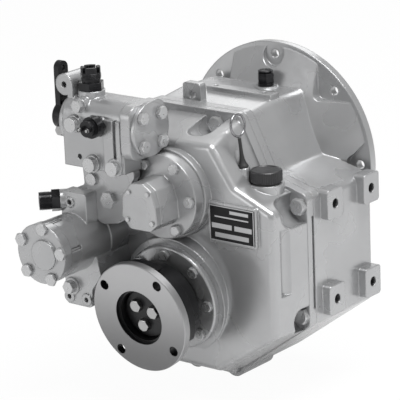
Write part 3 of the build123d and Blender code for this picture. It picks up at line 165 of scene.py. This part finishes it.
paintLook = {
    "silver": (0.45, 0.453, 0.458, 1),
    "dulled": (0.39, 0.393, 0.398, 1),
    "bare": (0.55, 0.55, 0.56, 1),
    "metal": 0.66,
    "roughness": 0.27,
    "cloudRoughness": 0.12,
    "cloudShare": 0.7,  # the rest of the tone's pattern is the fine speckle
    "toneRange": (0.35, 0.7),
    "cloudScale": 14.0,
    "speckleScale": 2600.0,
    "peelScale": 700.0,
    "unevenScale": 55.0,
    "facedFrom": -0.25 * mm,  # the machined engine face starts here along Y
    "facedTo": -0.15 * mm,
    "edge": 2.2 * mm,
    "peel": 0.05 * mm,
    "unevenness": 0.25 * mm,
}


def castingPaint():
    look = paintLook
    material, start, place = startMaterial("castingPaint")
    clouds = noise(place, look["cloudScale"], 3.0)
    speckle = noise(place, look["speckleScale"], 1.0)
    peel = noise(place, look["peelScale"])
    uneven = noise(place, look["unevenScale"], 1.0)
    height = place.node("SeparateXYZ", {}, {0: place}, "Y")
    faced = ramp(height, look["facedFrom"], look["facedTo"])  # the engine face is machined bare
    pattern = clouds * look["cloudShare"] + speckle * (1 - look["cloudShare"])
    tone = blend(ramp(pattern, *look["toneRange"]), look["dulled"], look["silver"])
    relief = bump(uneven, look["unevenness"], roundedEdges(start, look["edge"]))
    return finishMaterial(
        material,
        start,
        {
            "Base Color": blend(faced, tone, look["bare"]),
            "Metallic": look["metal"] + faced * (1 - look["metal"]),
            "Roughness": look["roughness"] + (clouds - 0.5) * look["cloudRoughness"],
            "Normal": bump(peel, look["peel"], relief),
        },
    )


fastenerLook = {
    "painted": (0.50, 0.503, 0.508, 1),
    "chipped": (0.56, 0.56, 0.57, 1),
    "chipScale": 420.0,
    "chipRange": (0.66, 0.72),
    "metal": 0.7,
    "roughness": 0.24,
    "roughnessSpread": 0.08,
    "grain": 0.04 * mm,
    "edge": 0.4 * mm,
}


def fastenerPaint():
    look = fastenerLook
    material, start, place = startMaterial("fastenerPaint")
    chipped = ramp(noise(place, look["chipScale"], 3.0), *look["chipRange"])
    return finishMaterial(
        material,
        start,
        {
            "Base Color": blend(chipped, look["painted"], look["chipped"]),
            "Metallic": look["metal"] + chipped * (1 - look["metal"]),
            "Roughness": look["roughness"] + noise(place, 180.0) * look["roughnessSpread"],
            "Normal": bump(noise(place, 900.0), look["grain"], roundedEdges(start, look["edge"])),
        },
    )


couplingLook = {
    "turned": (0.40, 0.40, 0.405, 1),
    "stained": (0.33, 0.33, 0.335, 1),
    "ground": (0.42, 0.42, 0.425, 1),
    "darkBelow": (0.17, 0.17, 0.172, 1),
    "blackened": (0.010, 0.010, 0.011, 1),
    "ringPitch": 0.35 * mm,
    "ringDepth": 0.004 * mm,
    "faceRadius": 62.8 * mm,  # inside this radius, what lies deeper than the face is blackened
    "faceDepth": (0.1 * mm, 0.3 * mm),
    "recessDepth": (0.3 * mm, 0.8 * mm),
    "darkeningReach": 58 * mm,  # the face darkens from this far above to this far below the axis
    "rimEnd": 23.2 * mm,
    "roughness": 0.36,
    "stainScale": 45.0,
    "edge": 0.5 * mm,
}


def couplingSteel():
    # turned bare on the ring face and the rim, oil-blackened inside the pilot and on the drum
    look = couplingLook
    material, start, place = startMaterial("couplingSteel")
    along, out = fromAxis(place, couplingCentre, shaftForward)
    rings = (out * (2 * pi / look["ringPitch"])).sine()
    inside = ramp(out, look["faceRadius"], look["faceRadius"] - 0.3 * mm)
    deep = ramp(along, *look["recessDepth"])
    drum = ramp(along, look["rimEnd"] - 0.2 * mm, look["rimEnd"])
    blackened = inside * deep + drum
    dark = blackened.node("Clamp", {}, {0: blackened})
    stain = noise(place, look["stainScale"], 3.0)
    face = ramp(along, look["faceDepth"][1], look["faceDepth"][0])
    level = place.node("SeparateXYZ", {}, {0: place}, "Z")
    # the ring face is made darker towards the bottom, graded by height about the axis
    towardsBottom = ramp(level, couplingCentre.z + look["darkeningReach"], couplingCentre.z - look["darkeningReach"])
    ring = blend(towardsBottom, look["ground"], look["darkBelow"])
    turned = blend(face, blend(stain, look["turned"], look["stained"]), ring)
    return finishMaterial(
        material,
        start,
        {
            "Base Color": blend(dark, turned, look["blackened"]),
            "Metallic": 1 - dark * 0.6,
            "Roughness": look["roughness"] + stain * 0.1 - dark * 0.12,
            "Normal": bump(rings, look["ringDepth"], roundedEdges(start, look["edge"])),
        },
    )


def shaded(colour, share=1.0):  # a colour with its alpha, darker or paler by a share
    return tuple(share * c for c in colour) + (1,)


steelStreaks = {"shade": 0.88, "roughness": 0.14, "depth": 0.02 * mm}


def bareSteel(name, colour, roughness, grain, edge):
    # ground or turned steel of the gears, the shafts, the bearings and the plated bolts
    material, start, place = startMaterial(name)
    streaks = noise(place, grain, 4.0)
    return finishMaterial(
        material,
        start,
        {
            "Base Color": blend(streaks, shaded(colour, steelStreaks["shade"]), shaded(colour)),
            "Metallic": 1.0,
            "Roughness": roughness + (streaks - 0.5) * steelStreaks["roughness"],
            "Normal": bump(streaks, steelStreaks["depth"], roundedEdges(start, edge)),
        },
    )


blackenedLook = {
    "dark": (0.008, 0.008, 0.009, 1),
    "worn": (0.022, 0.022, 0.024, 1),
    "patchScale": 120.0,
    "metal": 0.5,
    "roughness": 0.14,
    "edge": 0.5 * mm,
}


def blackenedSteel():
    look = blackenedLook
    material, start, place = startMaterial("blackenedSteel")
    patches = noise(place, look["patchScale"], 3.0)
    return finishMaterial(
        material,
        start,
        {
            "Base Color": blend(patches, look["dark"], look["worn"]),
            "Metallic": look["metal"],
            "Roughness": look["roughness"] + patches * 0.14,
            "Normal": bump(noise(place, 1500.0), 0.02 * mm, roundedEdges(start, look["edge"])),
        },
    )


mouldedLook = {"bloom": 1.6, "bloomScale": 60.0, "grainScale": 1800.0, "edge": 0.4 * mm}


def mouldedBlack(name, colour, roughness, grainDepth):
    # moulded plastic and rubber
    look = mouldedLook
    material, start, place = startMaterial(name)
    grain = noise(place, look["grainScale"])
    bloom = noise(place, look["bloomScale"])
    return finishMaterial(
        material,
        start,
        {
            "Base Color": blend(bloom, shaded(colour), shaded(colour, look["bloom"])),
            "Roughness": roughness + (grain - 0.5) * 0.1,
            "Normal": bump(grain, grainDepth, roundedEdges(start, look["edge"])),
        },
    )


enamelLook = {
    "black": (0.006, 0.006, 0.007, 1),
    "worn": (0.014, 0.014, 0.015, 1),
    "specular": 0.2,
    "roughness": 0.36,
}


def plateEnamel():
    look = enamelLook
    material, start, place = startMaterial("plateEnamel")
    worn = noise(place, 260.0, 3.0)
    return finishMaterial(
        material,
        start,
        {
            "Base Color": blend(worn, look["black"], look["worn"]),
            "Specular IOR Level": look["specular"],
            "Roughness": look["roughness"] + worn * 0.15,
            "Normal": bump(noise(place, 2200.0), 0.01 * mm),
        },
    )


frictionLook = {"dark": (0.10, 0.07, 0.045, 1), "light": (0.24, 0.18, 0.12, 1), "fibre": 0.08 * mm}


def frictionFacing():
    look = frictionLook
    material, start, place = startMaterial("frictionFacing")
    fibres = noise(place, 900.0, 4.0)
    return finishMaterial(
        material,
        start,
        {
            "Base Color": blend(fibres, look["dark"], look["light"]),
            "Roughness": 0.75 + fibres * 0.15,
            "Normal": bump(fibres, look["fibre"]),
        },
    )


paperLook = {
    "shade": (0.62, 0.54, 0.38, 1),
    "light": (0.72, 0.64, 0.47, 1),
    "pleats": 1600.0,  # phase of the wave in radians for each metre
    "pleatDepth": 0.3 * mm,
}


def pleatedPaper():
    look = paperLook
    material, start, place = startMaterial("pleatedPaper")
    wave = (place.node("SeparateXYZ", {}, {0: place}, "X") * look["pleats"]).sine()
    return finishMaterial(
        material,
        start,
        {
            "Base Color": blend(noise(place, 300.0), look["shade"], look["light"]),
            "Roughness": 0.8 + noise(place, 900.0) * 0.1,
            "Normal": bump(wave, look["pleatDepth"]),
        },
    )


finishes = {
    "casting": castingPaint(),
    "painted_fastener": fastenerPaint(),
    "machined_steel": couplingSteel(),
    "gear_steel": bareSteel("groundGearSteel", (0.44, 0.44, 0.46), 0.28, 220.0, 0.4 * mm),
    "bearing_steel": bareSteel("bearingSteel", (0.60, 0.60, 0.62), 0.16, 500.0, 0.3 * mm),
    "zinc_fastener": bareSteel("zincPlating", (0.40, 0.40, 0.40), 0.30, 380.0, 0.4 * mm),
    "friction_lining": frictionFacing(),
    "black_fitting": blackenedSteel(),
    "black_plastic": mouldedBlack("mouldedPlastic", (0.014, 0.014, 0.015), 0.32, 0.015 * mm),
    "rubber": mouldedBlack("nitrileRubber", (0.016, 0.016, 0.016), 0.5, 0.03 * mm),
    "plate": plateEnamel(),
    "wire": bareSteel("springWire", (0.30, 0.30, 0.31), 0.22, 600.0, 0.2 * mm),
    "filter_paper": pleatedPaper(),
}
for name, node in nodes.items():
    for slot in node.material_slots:
        slot.material = finishes[slotOf[name]]
print("finishes made:", len(finishes))

boltReading = {
    "weld": 0.001 * mm,  # corners nearer than this are one
    "level": 0.01 * mm,  # points within this of an end lie in its face
    "seatShare": 0.48,  # points further out than this share of the width belong to the head
}


def solidsOf(node):  # the corners of each separate solid of a node
    mesh = bmesh.new()
    mesh.from_mesh(nodes[node].data)
    bmesh.ops.remove_doubles(mesh, verts=mesh.verts, dist=boltReading["weld"])
    met = set()
    solids = []
    for start in mesh.verts:
        if start in met:
            continue
        met.add(start)
        waiting = [start]
        corners = []
        while waiting:
            corner = waiting.pop()
            corners.append(corner.co.copy())
            for edge in corner.link_edges:
                other = edge.other_vert(corner)
                if other not in met:
                    met.add(other)
                    waiting.append(other)
        solids.append(corners)
    mesh.free()
    return solids


def sideways(axis):  # two directions square to an axis
    first = axis.cross(up if abs(axis.z) < 0.9 else aft).normalized()
    return first, axis.cross(first).normalized()


def skin(mesh, rings):  # joins rings of points in turn and closes both ends
    rows = [[mesh.verts.new(point) for point in ring] for ring in rings]
    for near, far in zip(rows, rows[1:]):
        count = len(near)
        for i in range(count):
            mesh.faces.new((near[i], near[(i + 1) % count], far[(i + 1) % count], far[i]))
    mesh.faces.new(reversed(rows[0]))
    mesh.faces.new(rows[-1])


def ringPoints(centre, first, second, radii):
    count = len(radii)
    return [
        centre + (first * cos(2 * pi * i / count) + second * sin(2 * pi * i / count)) * radius
        for i, radius in enumerate(radii)
    ]


def spin(mesh, pivot, axis, outline, sides=64, flutes=0):
    # outline: distance along the axis, radius and depth of the flutes there
    first, second = sideways(axis)
    rings = []
    for row in outline:
        along, radius = row[:2]
        fluting = row[2] if len(row) > 2 else 0
        radii = [radius - fluting * (0.5 - 0.5 * cos(2 * pi * flutes * i / sides)) for i in range(sides)]
        rings.append(ringPoints(pivot + axis * along, first, second, radii))
    skin(mesh, rings)


def finishPiece(name, mesh, body, slot, stands=(), smooth=32):
    bmesh.ops.recalc_face_normals(mesh, faces=mesh.faces)
    data = bpy.data.meshes.new(name)
    mesh.to_mesh(data)
    mesh.free()
    data.shade_smooth()
    data.set_sharp_from_angle(angle=radians(smooth))
    data.materials.append(finishes[slot])
    piece = bpy.data.objects.new(name, data)
    bpy.context.scene.collection.objects.link(piece)
    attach(piece, body)
    if stands:
        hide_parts(*stands)
    return piece


hexLook = {
    "samples": 36,
    "crown": 0.93,  # the top circle's share of the width across flats
    "chamfer": 0.5,  # fall of the chamfer to its reach
    "washerFace": 0.35 * mm,
    "washerShare": 0.95,
    "lead": 0.8,  # the shank's end, as a share of its radius
    "leadRise": 0.3,
}


def hexHead(mesh, seat, out, corner, across, height, shank, depth):
    # a chamfered hexagon on its washer face, with a plain shank below
    look = hexLook
    half = across / 2
    first = corner.normalized()
    second = out.cross(first)
    turns = [2 * pi * i / look["samples"] for i in range(look["samples"])]
    reach = [half / cos((turn % (pi / 3)) - pi / 6) for turn in turns]
    crown = half * look["crown"]

    def ring(radii, heights):
        return [
            seat + (first * cos(turn) + second * sin(turn)) * radius + out * rise
            for turn, radius, rise in zip(turns, radii, heights)
        ]

    count = len(turns)
    shoulders = [height - (r - crown) * look["chamfer"] for r in reach]
    washer = half * look["washerShare"]
    rows = []
    if depth:
        rows += [(shank * look["lead"], -depth), (shank, -depth + shank * look["leadRise"]), (shank, 0.0)]
    rows += [(washer, 0.0), (washer, look["washerFace"])]
    rings = [ring([radius] * count, [rise] * count) for radius, rise in rows]
    rings.append(ring(reach, [look["washerFace"]] * count))
    rings.append(ring(reach, shoulders))
    rings.append(ring([crown] * count, [height] * count))
    skin(mesh, rings)


def boltSet(name, node, out, body, slot):
    # dresses every bolt of a node, each read from its own solid
    mesh = bmesh.new()
    for solid in solidsOf(node):
        heights = [point.dot(out) for point in solid]
        top = max(heights)
        crown = [point for point, height in zip(solid, heights) if height > top - boltReading["level"]]
        centre = sum(crown, Vector()) / len(crown)
        corner = max((point - centre for point in crown), key=lambda arm: arm.length)
        across = corner.length * sqrt(3)
        arms = [(point - centre - out * (height - top)).length for point, height in zip(solid, heights)]
        seat = min(height for arm, height in zip(arms, heights) if arm > across * boltReading["seatShare"])
        foot = min(heights)
        shank = max(arm for arm, height in zip(arms, heights) if height < foot + boltReading["level"])
        base = centre + out * (seat - top)
        hexHead(mesh, base, out, corner, across, top - seat, shank, seat - foot)
    return finishPiece(name, mesh, body, slot, [node], smooth=25)


boltSets = [
    ("housingBolts", "housing_bolts", aft, "casing", "painted_fastener"),
    ("outputCoverBolts", "output_cover_bolts", -shaftForward, "casing", "painted_fastener"),
    ("pumpFlangeBolts", "pump_mounting_bolts", aft, "casing", "painted_fastener"),
    ("pumpCoverScrews", "pump_cover_screws", aft, "casing", "painted_fastener"),
    ("valveCoverBolts", "valve_cover_bolts", Vector((1, 0, 0)), "casing", "painted_fastener"),
    ("filterCapBolts", "filter_cap_bolts", aft, "casing", "painted_fastener"),
    ("couplingBolts", "coupling_bolts", -shaftForward, "output_train", "zinc_fastener"),
    ("drainPlug", "drain_plug", -up, "casing", "painted_fastener"),
    ("leverClampBolt", "lever_clamp_bolt", aft, "selector", "zinc_fastener"),
]
for row in boltSets:
    boltSet(*row)
print("bolt sets:", len(boltSets))

fillerCap = {
    "pivot": Vector(joints["filler_turn"]["pos_m"]),
    "radius": 18 * mm,
    "flutes": 44,
    "fluteDepth": 0.9 * mm,
    "rimWidth": 2.6 * mm,
    "dish": 1.8 * mm,
    "rings": 5,
    "plugRadius": 10.9 * mm,
    "plugTip": 9.5 * mm,
    "threadRoot": 10.0 * mm,
    "threadStart": 1.6 * mm,
    "threadPitch": 1.9 * mm,
    "threadTurns": 4,
}


def buildFillerCap():
    cap = fillerCap
    low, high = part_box("filler_cap")
    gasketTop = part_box("filler_gasket")[1].z
    foot = Vector((cap["pivot"].x, cap["pivot"].y, gasketTop))
    height = high.z - gasketTop
    plug = low.z - gasketTop
    outer = cap["radius"]
    floor = outer - cap["rimWidth"]
    thick, root = cap["plugRadius"], cap["threadRoot"]
    outline = [(plug, cap["plugTip"]), (plug + 1.2 * mm, thick)]
    for i in range(cap["threadTurns"]):  # rolled thread of the plug
        start = plug + cap["threadStart"] + i * cap["threadPitch"]
        outline += [(start, thick), (start + 0.7 * mm, root), (start + 1.3 * mm, thick)]
    outline += [(0, thick), (0, outer - 1.2 * mm), (0.8 * mm, outer - 0.4 * mm)]
    outline += [(1.6 * mm, outer, cap["fluteDepth"]), (height - 2.4 * mm, outer, cap["fluteDepth"])]
    outline += [(height - 1.2 * mm, outer - 0.5 * mm), (height - 0.3 * mm, outer - 1.2 * mm)]
    outline += [(height, outer - 1.8 * mm), (height, floor + 0.3 * mm), (height - 0.4 * mm, floor)]
    outline += [(height - cap["dish"] * 0.55, floor - 0.5 * mm)]
    for i in range(cap["rings"]):  # the turned rings of the dished top
        radius = (floor - 1.2 * mm) * (1 - i / cap["rings"])
        fall = cap["dish"] * (0.55 + 0.45 * (1 - (radius / floor) ** 2))
        outline += [(height - fall, radius), (height - fall - 0.18 * mm, radius - 0.5 * mm)]
    mesh = bmesh.new()
    spin(mesh, foot, up, outline, sides=cap["flutes"] * 6, flutes=cap["flutes"])
    finishPiece("fillerCap", mesh, "filler_lid", "black_plastic", ["filler_cap"], smooth=40)


buildFillerCap()

breatherCap = {
    "collar": 9 * mm,
    "collarTop": 3.5 * mm,
    "across": 17 * mm,
    "hexFoot": 4.2 * mm,
    "dome": 3.5 * mm,
    # height above the hexagon and radius there
    "domeOutline": [(-0.8, 6.5), (0.9, 6.5), (0.9, 8.3), (1.5, 8.7), (2.4, 8.1), (3.1, 6.0), (3.5, 3.0)],
}


def buildBreather():
    cap = breatherCap
    low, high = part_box("breather")
    centre = (low + high) / 2
    foot = Vector((centre.x, centre.y, low.z))
    mesh = bmesh.new()
    collar, base = cap["collar"], cap["hexFoot"]
    outline = [(0, collar - 0.6 * mm), (0.5 * mm, collar), (cap["collarTop"], collar)]
    outline += [(base, collar - 1 * mm), (4.6 * mm, 5 * mm)]
    spin(mesh, foot, up, outline)
    hexTop = high.z - low.z - cap["dome"]
    hexHead(mesh, foot + up * base, up, Vector((1, 0.2, 0)), cap["across"], hexTop - base, 5 * mm, 0)
    dome = [(rise * mm, radius * mm) for rise, radius in cap["domeOutline"]]
    spin(mesh, foot + up * hexTop, up, dome)
    finishPiece("breatherCap", mesh, "casing", "black_fitting", ["breather"], smooth=30)


buildBreather()

stopper = {
    "seat": Vector((0.0695, -0.1665, 0.029)),
    "foot": 6.2 * mm,
    "lip": 1.8 * mm,  # height of the foot's straight edge
    "neck": 1.9 * mm,
    "height": 33 * mm,
    "flare": 5,
    "spigot": 2.7 * mm,
    "spigotLength": 4.9 * mm,
    "sides": 48,
    "steps": 18,
}


def buildStopper():
    # rubber stopper that flares from the wire to its foot
    axis = Vector(joints["dipstick_pull"]["axis"]).normalized()
    foot, neck, lip, spigot = (stopper[key] for key in ("foot", "neck", "lip", "spigot"))
    outline = [(-stopper["spigotLength"], spigot * 0.8), (0.9 * mm - stopper["spigotLength"], spigot)]
    outline += [(0, spigot), (0, foot - 0.8 * mm), (0.7 * mm, foot), (lip, foot)]
    for i in range(1, stopper["steps"] + 1):
        share = i / stopper["steps"]
        radius = neck + (foot - neck) * (1 - share) ** stopper["flare"]
        outline.append((lip + (stopper["height"] - lip) * share, radius))
    mesh = bmesh.new()
    spin(mesh, stopper["seat"], axis, outline, sides=stopper["sides"])
    finishPiece("dipstickStopper", mesh, "dipstick_set", "rubber", ["dipstick_stopper"], smooth=50)


buildStopper()


threadForm = {
    "embedded": 0.3 * mm,  # how far the thread's root lies inside the metal
    "stepsPerTurn": 40,
    "rootHalf": 0.42,  # half widths of root and crest as shares of the pitch
    "crestHalf": 0.1,
    "runout": 8,  # the height grows from nothing over one part in this many of the length
    "runoutLeft": 0.05,
}
fittingThread = {"pitch": 1.5 * mm, "height": 0.45 * mm}


def threadOn(name, pivot, axis, radius, start, end, thread):
    # a screw thread wound round a plain stem, or inside a plain hole where its height is negative
    form = threadForm
    first, second = sideways(axis)
    pitch, height = thread["pitch"], thread["height"]
    root = radius - (form["embedded"] if height > 0 else -form["embedded"])
    turns = (end - start) / pitch
    steps = int(turns * form["stepsPerTurn"])
    mesh = bmesh.new()
    rings = []
    for i in range(steps + 1):
        share = i / steps
        turn = 2 * pi * turns * share
        out = first * cos(turn) + second * sin(turn)
        middle = pivot + axis * (start + (end - start) * share)
        fade = min(1, form["runout"] * share, form["runout"] * (1 - share))
        crest = radius + height * (form["runoutLeft"] + (1 - form["runoutLeft"]) * fade)
        wide, narrow = axis * pitch * form["rootHalf"], axis * pitch * form["crestHalf"]
        foot, top = middle + out * root, middle + out * crest
        rings.append([foot - wide, top - narrow, top + narrow, foot + wide])
    skin(mesh, rings)
    finishPiece(name, mesh, "casing", "black_fitting", smooth=25)


adapterLow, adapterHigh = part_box("hydraulic_adapter")
adapterMiddle = (adapterLow + adapterHigh) / 2
adapterFoot = Vector((adapterMiddle.x, adapterMiddle.y, adapterLow.z))
threadOn("adapterThread", adapterFoot, up, 11 * mm, 12.6 * mm, 19 * mm, fittingThread)
oilLine = Vector(mounts["oil_line"]["pos_m"])
oilLineAxis = Vector(mounts["oil_line"]["axis"]).normalized()
threadOn("oilLineThread", oilLine, oilLineAxis, 10 * mm, -3.5 * mm, 7.5 * mm, fittingThread)

padHole = {"radius": 5.5 * mm, "start": 0.8 * mm, "depth": 14 * mm, "pitch": 1.75 * mm, "height": -0.7 * mm}
for side in ("starboard", "port"):
    pads = mounts[side + "_pads"]
    middle = Vector(pads["pos_m"])
    inward = -Vector(pads["axis"])
    reach = Vector((0, pads["dims"]["spacing_x_mm"], pads["dims"]["spacing_y_mm"])) * mm / 2
    for i, (along, above) in enumerate(((-1, -1), (-1, 1), (1, -1), (1, 1))):
        hole = middle + Vector((0, along * reach.y, above * reach.z))
        name = f"{side}PadThread{i + 1}"
        threadOn(name, hole, inward, padHole["radius"], padHole["start"], padHole["depth"], padHole)

terminals = {"places": (-59.25 * mm, -48.75 * mm), "height": 82 * mm, "radius": 2.6 * mm, "length": 2.4 * mm}


def buildTerminals():
    # bright ends of the pressure sensor's two posts
    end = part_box("pressure_sensor")[0].y
    radius = terminals["radius"]
    outline = [(-0.05 * mm, radius * 0.45), (0, radius * 0.5), (0.5 * mm, radius)]
    outline += [(terminals["length"], radius)]
    mesh = bmesh.new()
    for x in terminals["places"]:
        spin(mesh, Vector((x, end - 0.1 * mm, terminals["height"])), -aft, outline, sides=24)
    finishPiece("sensorTerminals", mesh, "casing", "zinc_fastener")


buildTerminals()
print("caps, stopper, threads and terminals built")

plateBars = {
    "rise": 0.12 * mm,
    "embedded": 0.2 * mm,
    "pale": (0.52, 0.52, 0.53),
    "fields": [(0.05, 0.50, 0.50, 0.64), (0.56, 0.95, 0.50, 0.64), (0.12, 0.88, 0.76, 0.89)],
    "rules": [(0.46, 0.88, 0.10, 0.19), (0.12, 0.88, 0.29, 0.33)],
    "border": 0.018,
}


def buildPlateBars():
    # blank fields and rules: the plate carries no words
    low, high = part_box("name_plate")
    width, height = high.x - low.x, high.z - low.z
    mesh = bmesh.new()

    def bar(left, right, top, bottom):
        xs = (low.x + left * width, low.x + right * width)
        zs = (high.z - bottom * height, high.z - top * height)
        ys = (low.y - plateBars["rise"], low.y + plateBars["embedded"])
        corners = [(xs[0], zs[0]), (xs[1], zs[0]), (xs[1], zs[1]), (xs[0], zs[1])]
        skin(mesh, [[Vector((x, y, z)) for x, z in corners] for y in ys])

    for row in plateBars["fields"] + plateBars["rules"]:
        bar(*row)
    edge = plateBars["border"]
    tall = edge * width / height
    bar(0.0, 1.0, 0.0, tall)
    bar(0.0, 1.0, 1 - tall, 1.0)
    bar(0.0, edge, tall, 1 - tall)
    bar(1 - edge, 1.0, tall, 1 - tall)
    piece = finishPiece("plateBars", mesh, "casing", "plate")
    piece.data.materials[0] = bareSteel("satinAluminium", plateBars["pale"], 0.4, 700.0, 0.1 * mm)


buildPlateBars()
for slot in nodes["name_plate_rivets"].material_slots:
    slot.material = finishes["plate"]
print("name plate dressed")

studio = {
    "floorReach": 4.0,
    "floorGap": 0.2 * mm,
    "floorGlow": 0.96,  # share of plain white in what the camera sees, the rest takes the shadow
    "floorColour": (0.86, 0.86, 0.86, 1),
    "floorShine": 0.35,
    "world": (0.46, 0.46, 0.46, 1),
    "lamps": [
        {"name": "overhead", "at": (0.5, 0.0, 1.7), "size": 1.1, "power": 40},
        {"name": "forwardPort", "at": (-0.8, 1.5, 1.2), "size": 1.0, "power": 5},
        {"name": "starboardFill", "at": (1.7, 0.3, 0.3), "size": 1.1, "power": 2},
        {"name": "aftPort", "at": (-0.9, -1.9, 0.4), "size": 1.0, "power": 6},
    ],
}


def seenBy(start, *rays):  # one mask for each kind of ray of the Light Path node
    path = start.node("LightPath")
    return [Wire(start.tree, path.socket.node.outputs[f"Is {ray} Ray"]) for ray in rays]


def buildStudio():
    middle = (cadBox[0] + cadBox[1]) / 2
    reach = studio["floorReach"]
    level = cadBox[0].z - studio["floorGap"]
    mesh = bmesh.new()
    corners = [(-reach, -reach), (reach, -reach), (reach, reach), (-reach, reach)]
    mesh.faces.new([mesh.verts.new((middle.x + x, middle.y + y, level)) for x, y in corners])
    data = bpy.data.meshes.new("floor")
    mesh.to_mesh(data)
    mesh.free()
    floor = bpy.data.objects.new("floor", data)
    bpy.context.scene.collection.objects.link(floor)
    material, start = startMaterial("palePaper")[:2]
    paper = start.node("BsdfDiffuse", {}, {"Color": studio["floorColour"]})
    glow = start.node("Emission", {}, {"Color": (1, 1, 1, 1), "Strength": 1.0})
    camera, glossy = seenBy(start, "Camera", "Glossy")
    share = camera * studio["floorGlow"] + glossy * studio["floorShine"]
    mixed = start.node("MixShader", {}, {0: share, 1: paper, 2: glow})
    start.node("OutputMaterial", {}, {"Surface": mixed})
    data.materials.append(material)
    for lamp in studio["lamps"]:
        light = bpy.data.lights.new(lamp["name"], "AREA")
        light.size = lamp["size"]
        light.energy = lamp["power"]
        holder = bpy.data.objects.new(lamp["name"], light)
        holder.location = middle + Vector(lamp["at"])
        holder.rotation_mode = "QUATERNION"
        holder.rotation_quaternion = (-Vector(lamp["at"])).to_track_quat("-Z", "Y")
        bpy.context.scene.collection.objects.link(holder)
    world = bpy.data.worlds.new("studioWorld")
    world.use_nodes = True
    world.node_tree.nodes.clear()
    start = Wire(world.node_tree)
    camera, transmission = seenBy(start, "Camera", "Transmission")
    backdrop = start.node("Background", {}, {"Color": (1, 1, 1, 1), "Strength": 1.0})
    ambient = start.node("Background", {}, {"Color": studio["world"], "Strength": 1.0})
    mixed = start.node("MixShader", {}, {0: camera + transmission, 1: ambient, 2: backdrop})
    start.node("OutputWorld", {}, {"Surface": mixed})
    bpy.context.scene.world = world
    bpy.context.scene.view_settings.view_transform = "Standard"


buildStudio()

# Where the photograph was taken from, with the origin's place in its picture
photoView = {
    "azimuth": 38.74,
    "elevation": 16.68,
    "roll": -2.31,
    "distance": 2.85455,
    "right": 0.09609,
    "above": 0.05916,
    "lens": 222.254,
    "sensor": 36.0,
    "clipEnd": 50.0,
}


def buildCamera():
    turn, tilt, roll = (radians(photoView[key]) for key in ("azimuth", "elevation", "roll"))
    back = Vector((sin(turn) * cos(tilt), -cos(turn) * cos(tilt), sin(tilt)))
    level = Vector((cos(turn), sin(turn), 0))
    upright = Vector((-sin(turn) * sin(tilt), cos(turn) * sin(tilt), cos(tilt)))
    right = level * cos(roll) + upright * sin(roll)
    top = upright * cos(roll) - level * sin(roll)
    data = bpy.data.cameras.new("photoCamera")
    data.lens = photoView["lens"]
    data.sensor_width = photoView["sensor"]
    data.clip_end = photoView["clipEnd"]
    camera = bpy.data.objects.new("photoCamera", data)
    place = back * photoView["distance"] - right * photoView["right"] - top * photoView["above"]
    camera.matrix_world = Matrix.Translation(place) @ Matrix((right, top, back)).transposed().to_4x4()
    bpy.context.scene.collection.objects.link(camera)
    bpy.context.scene.camera = camera


buildCamera()
print("studio and camera set")
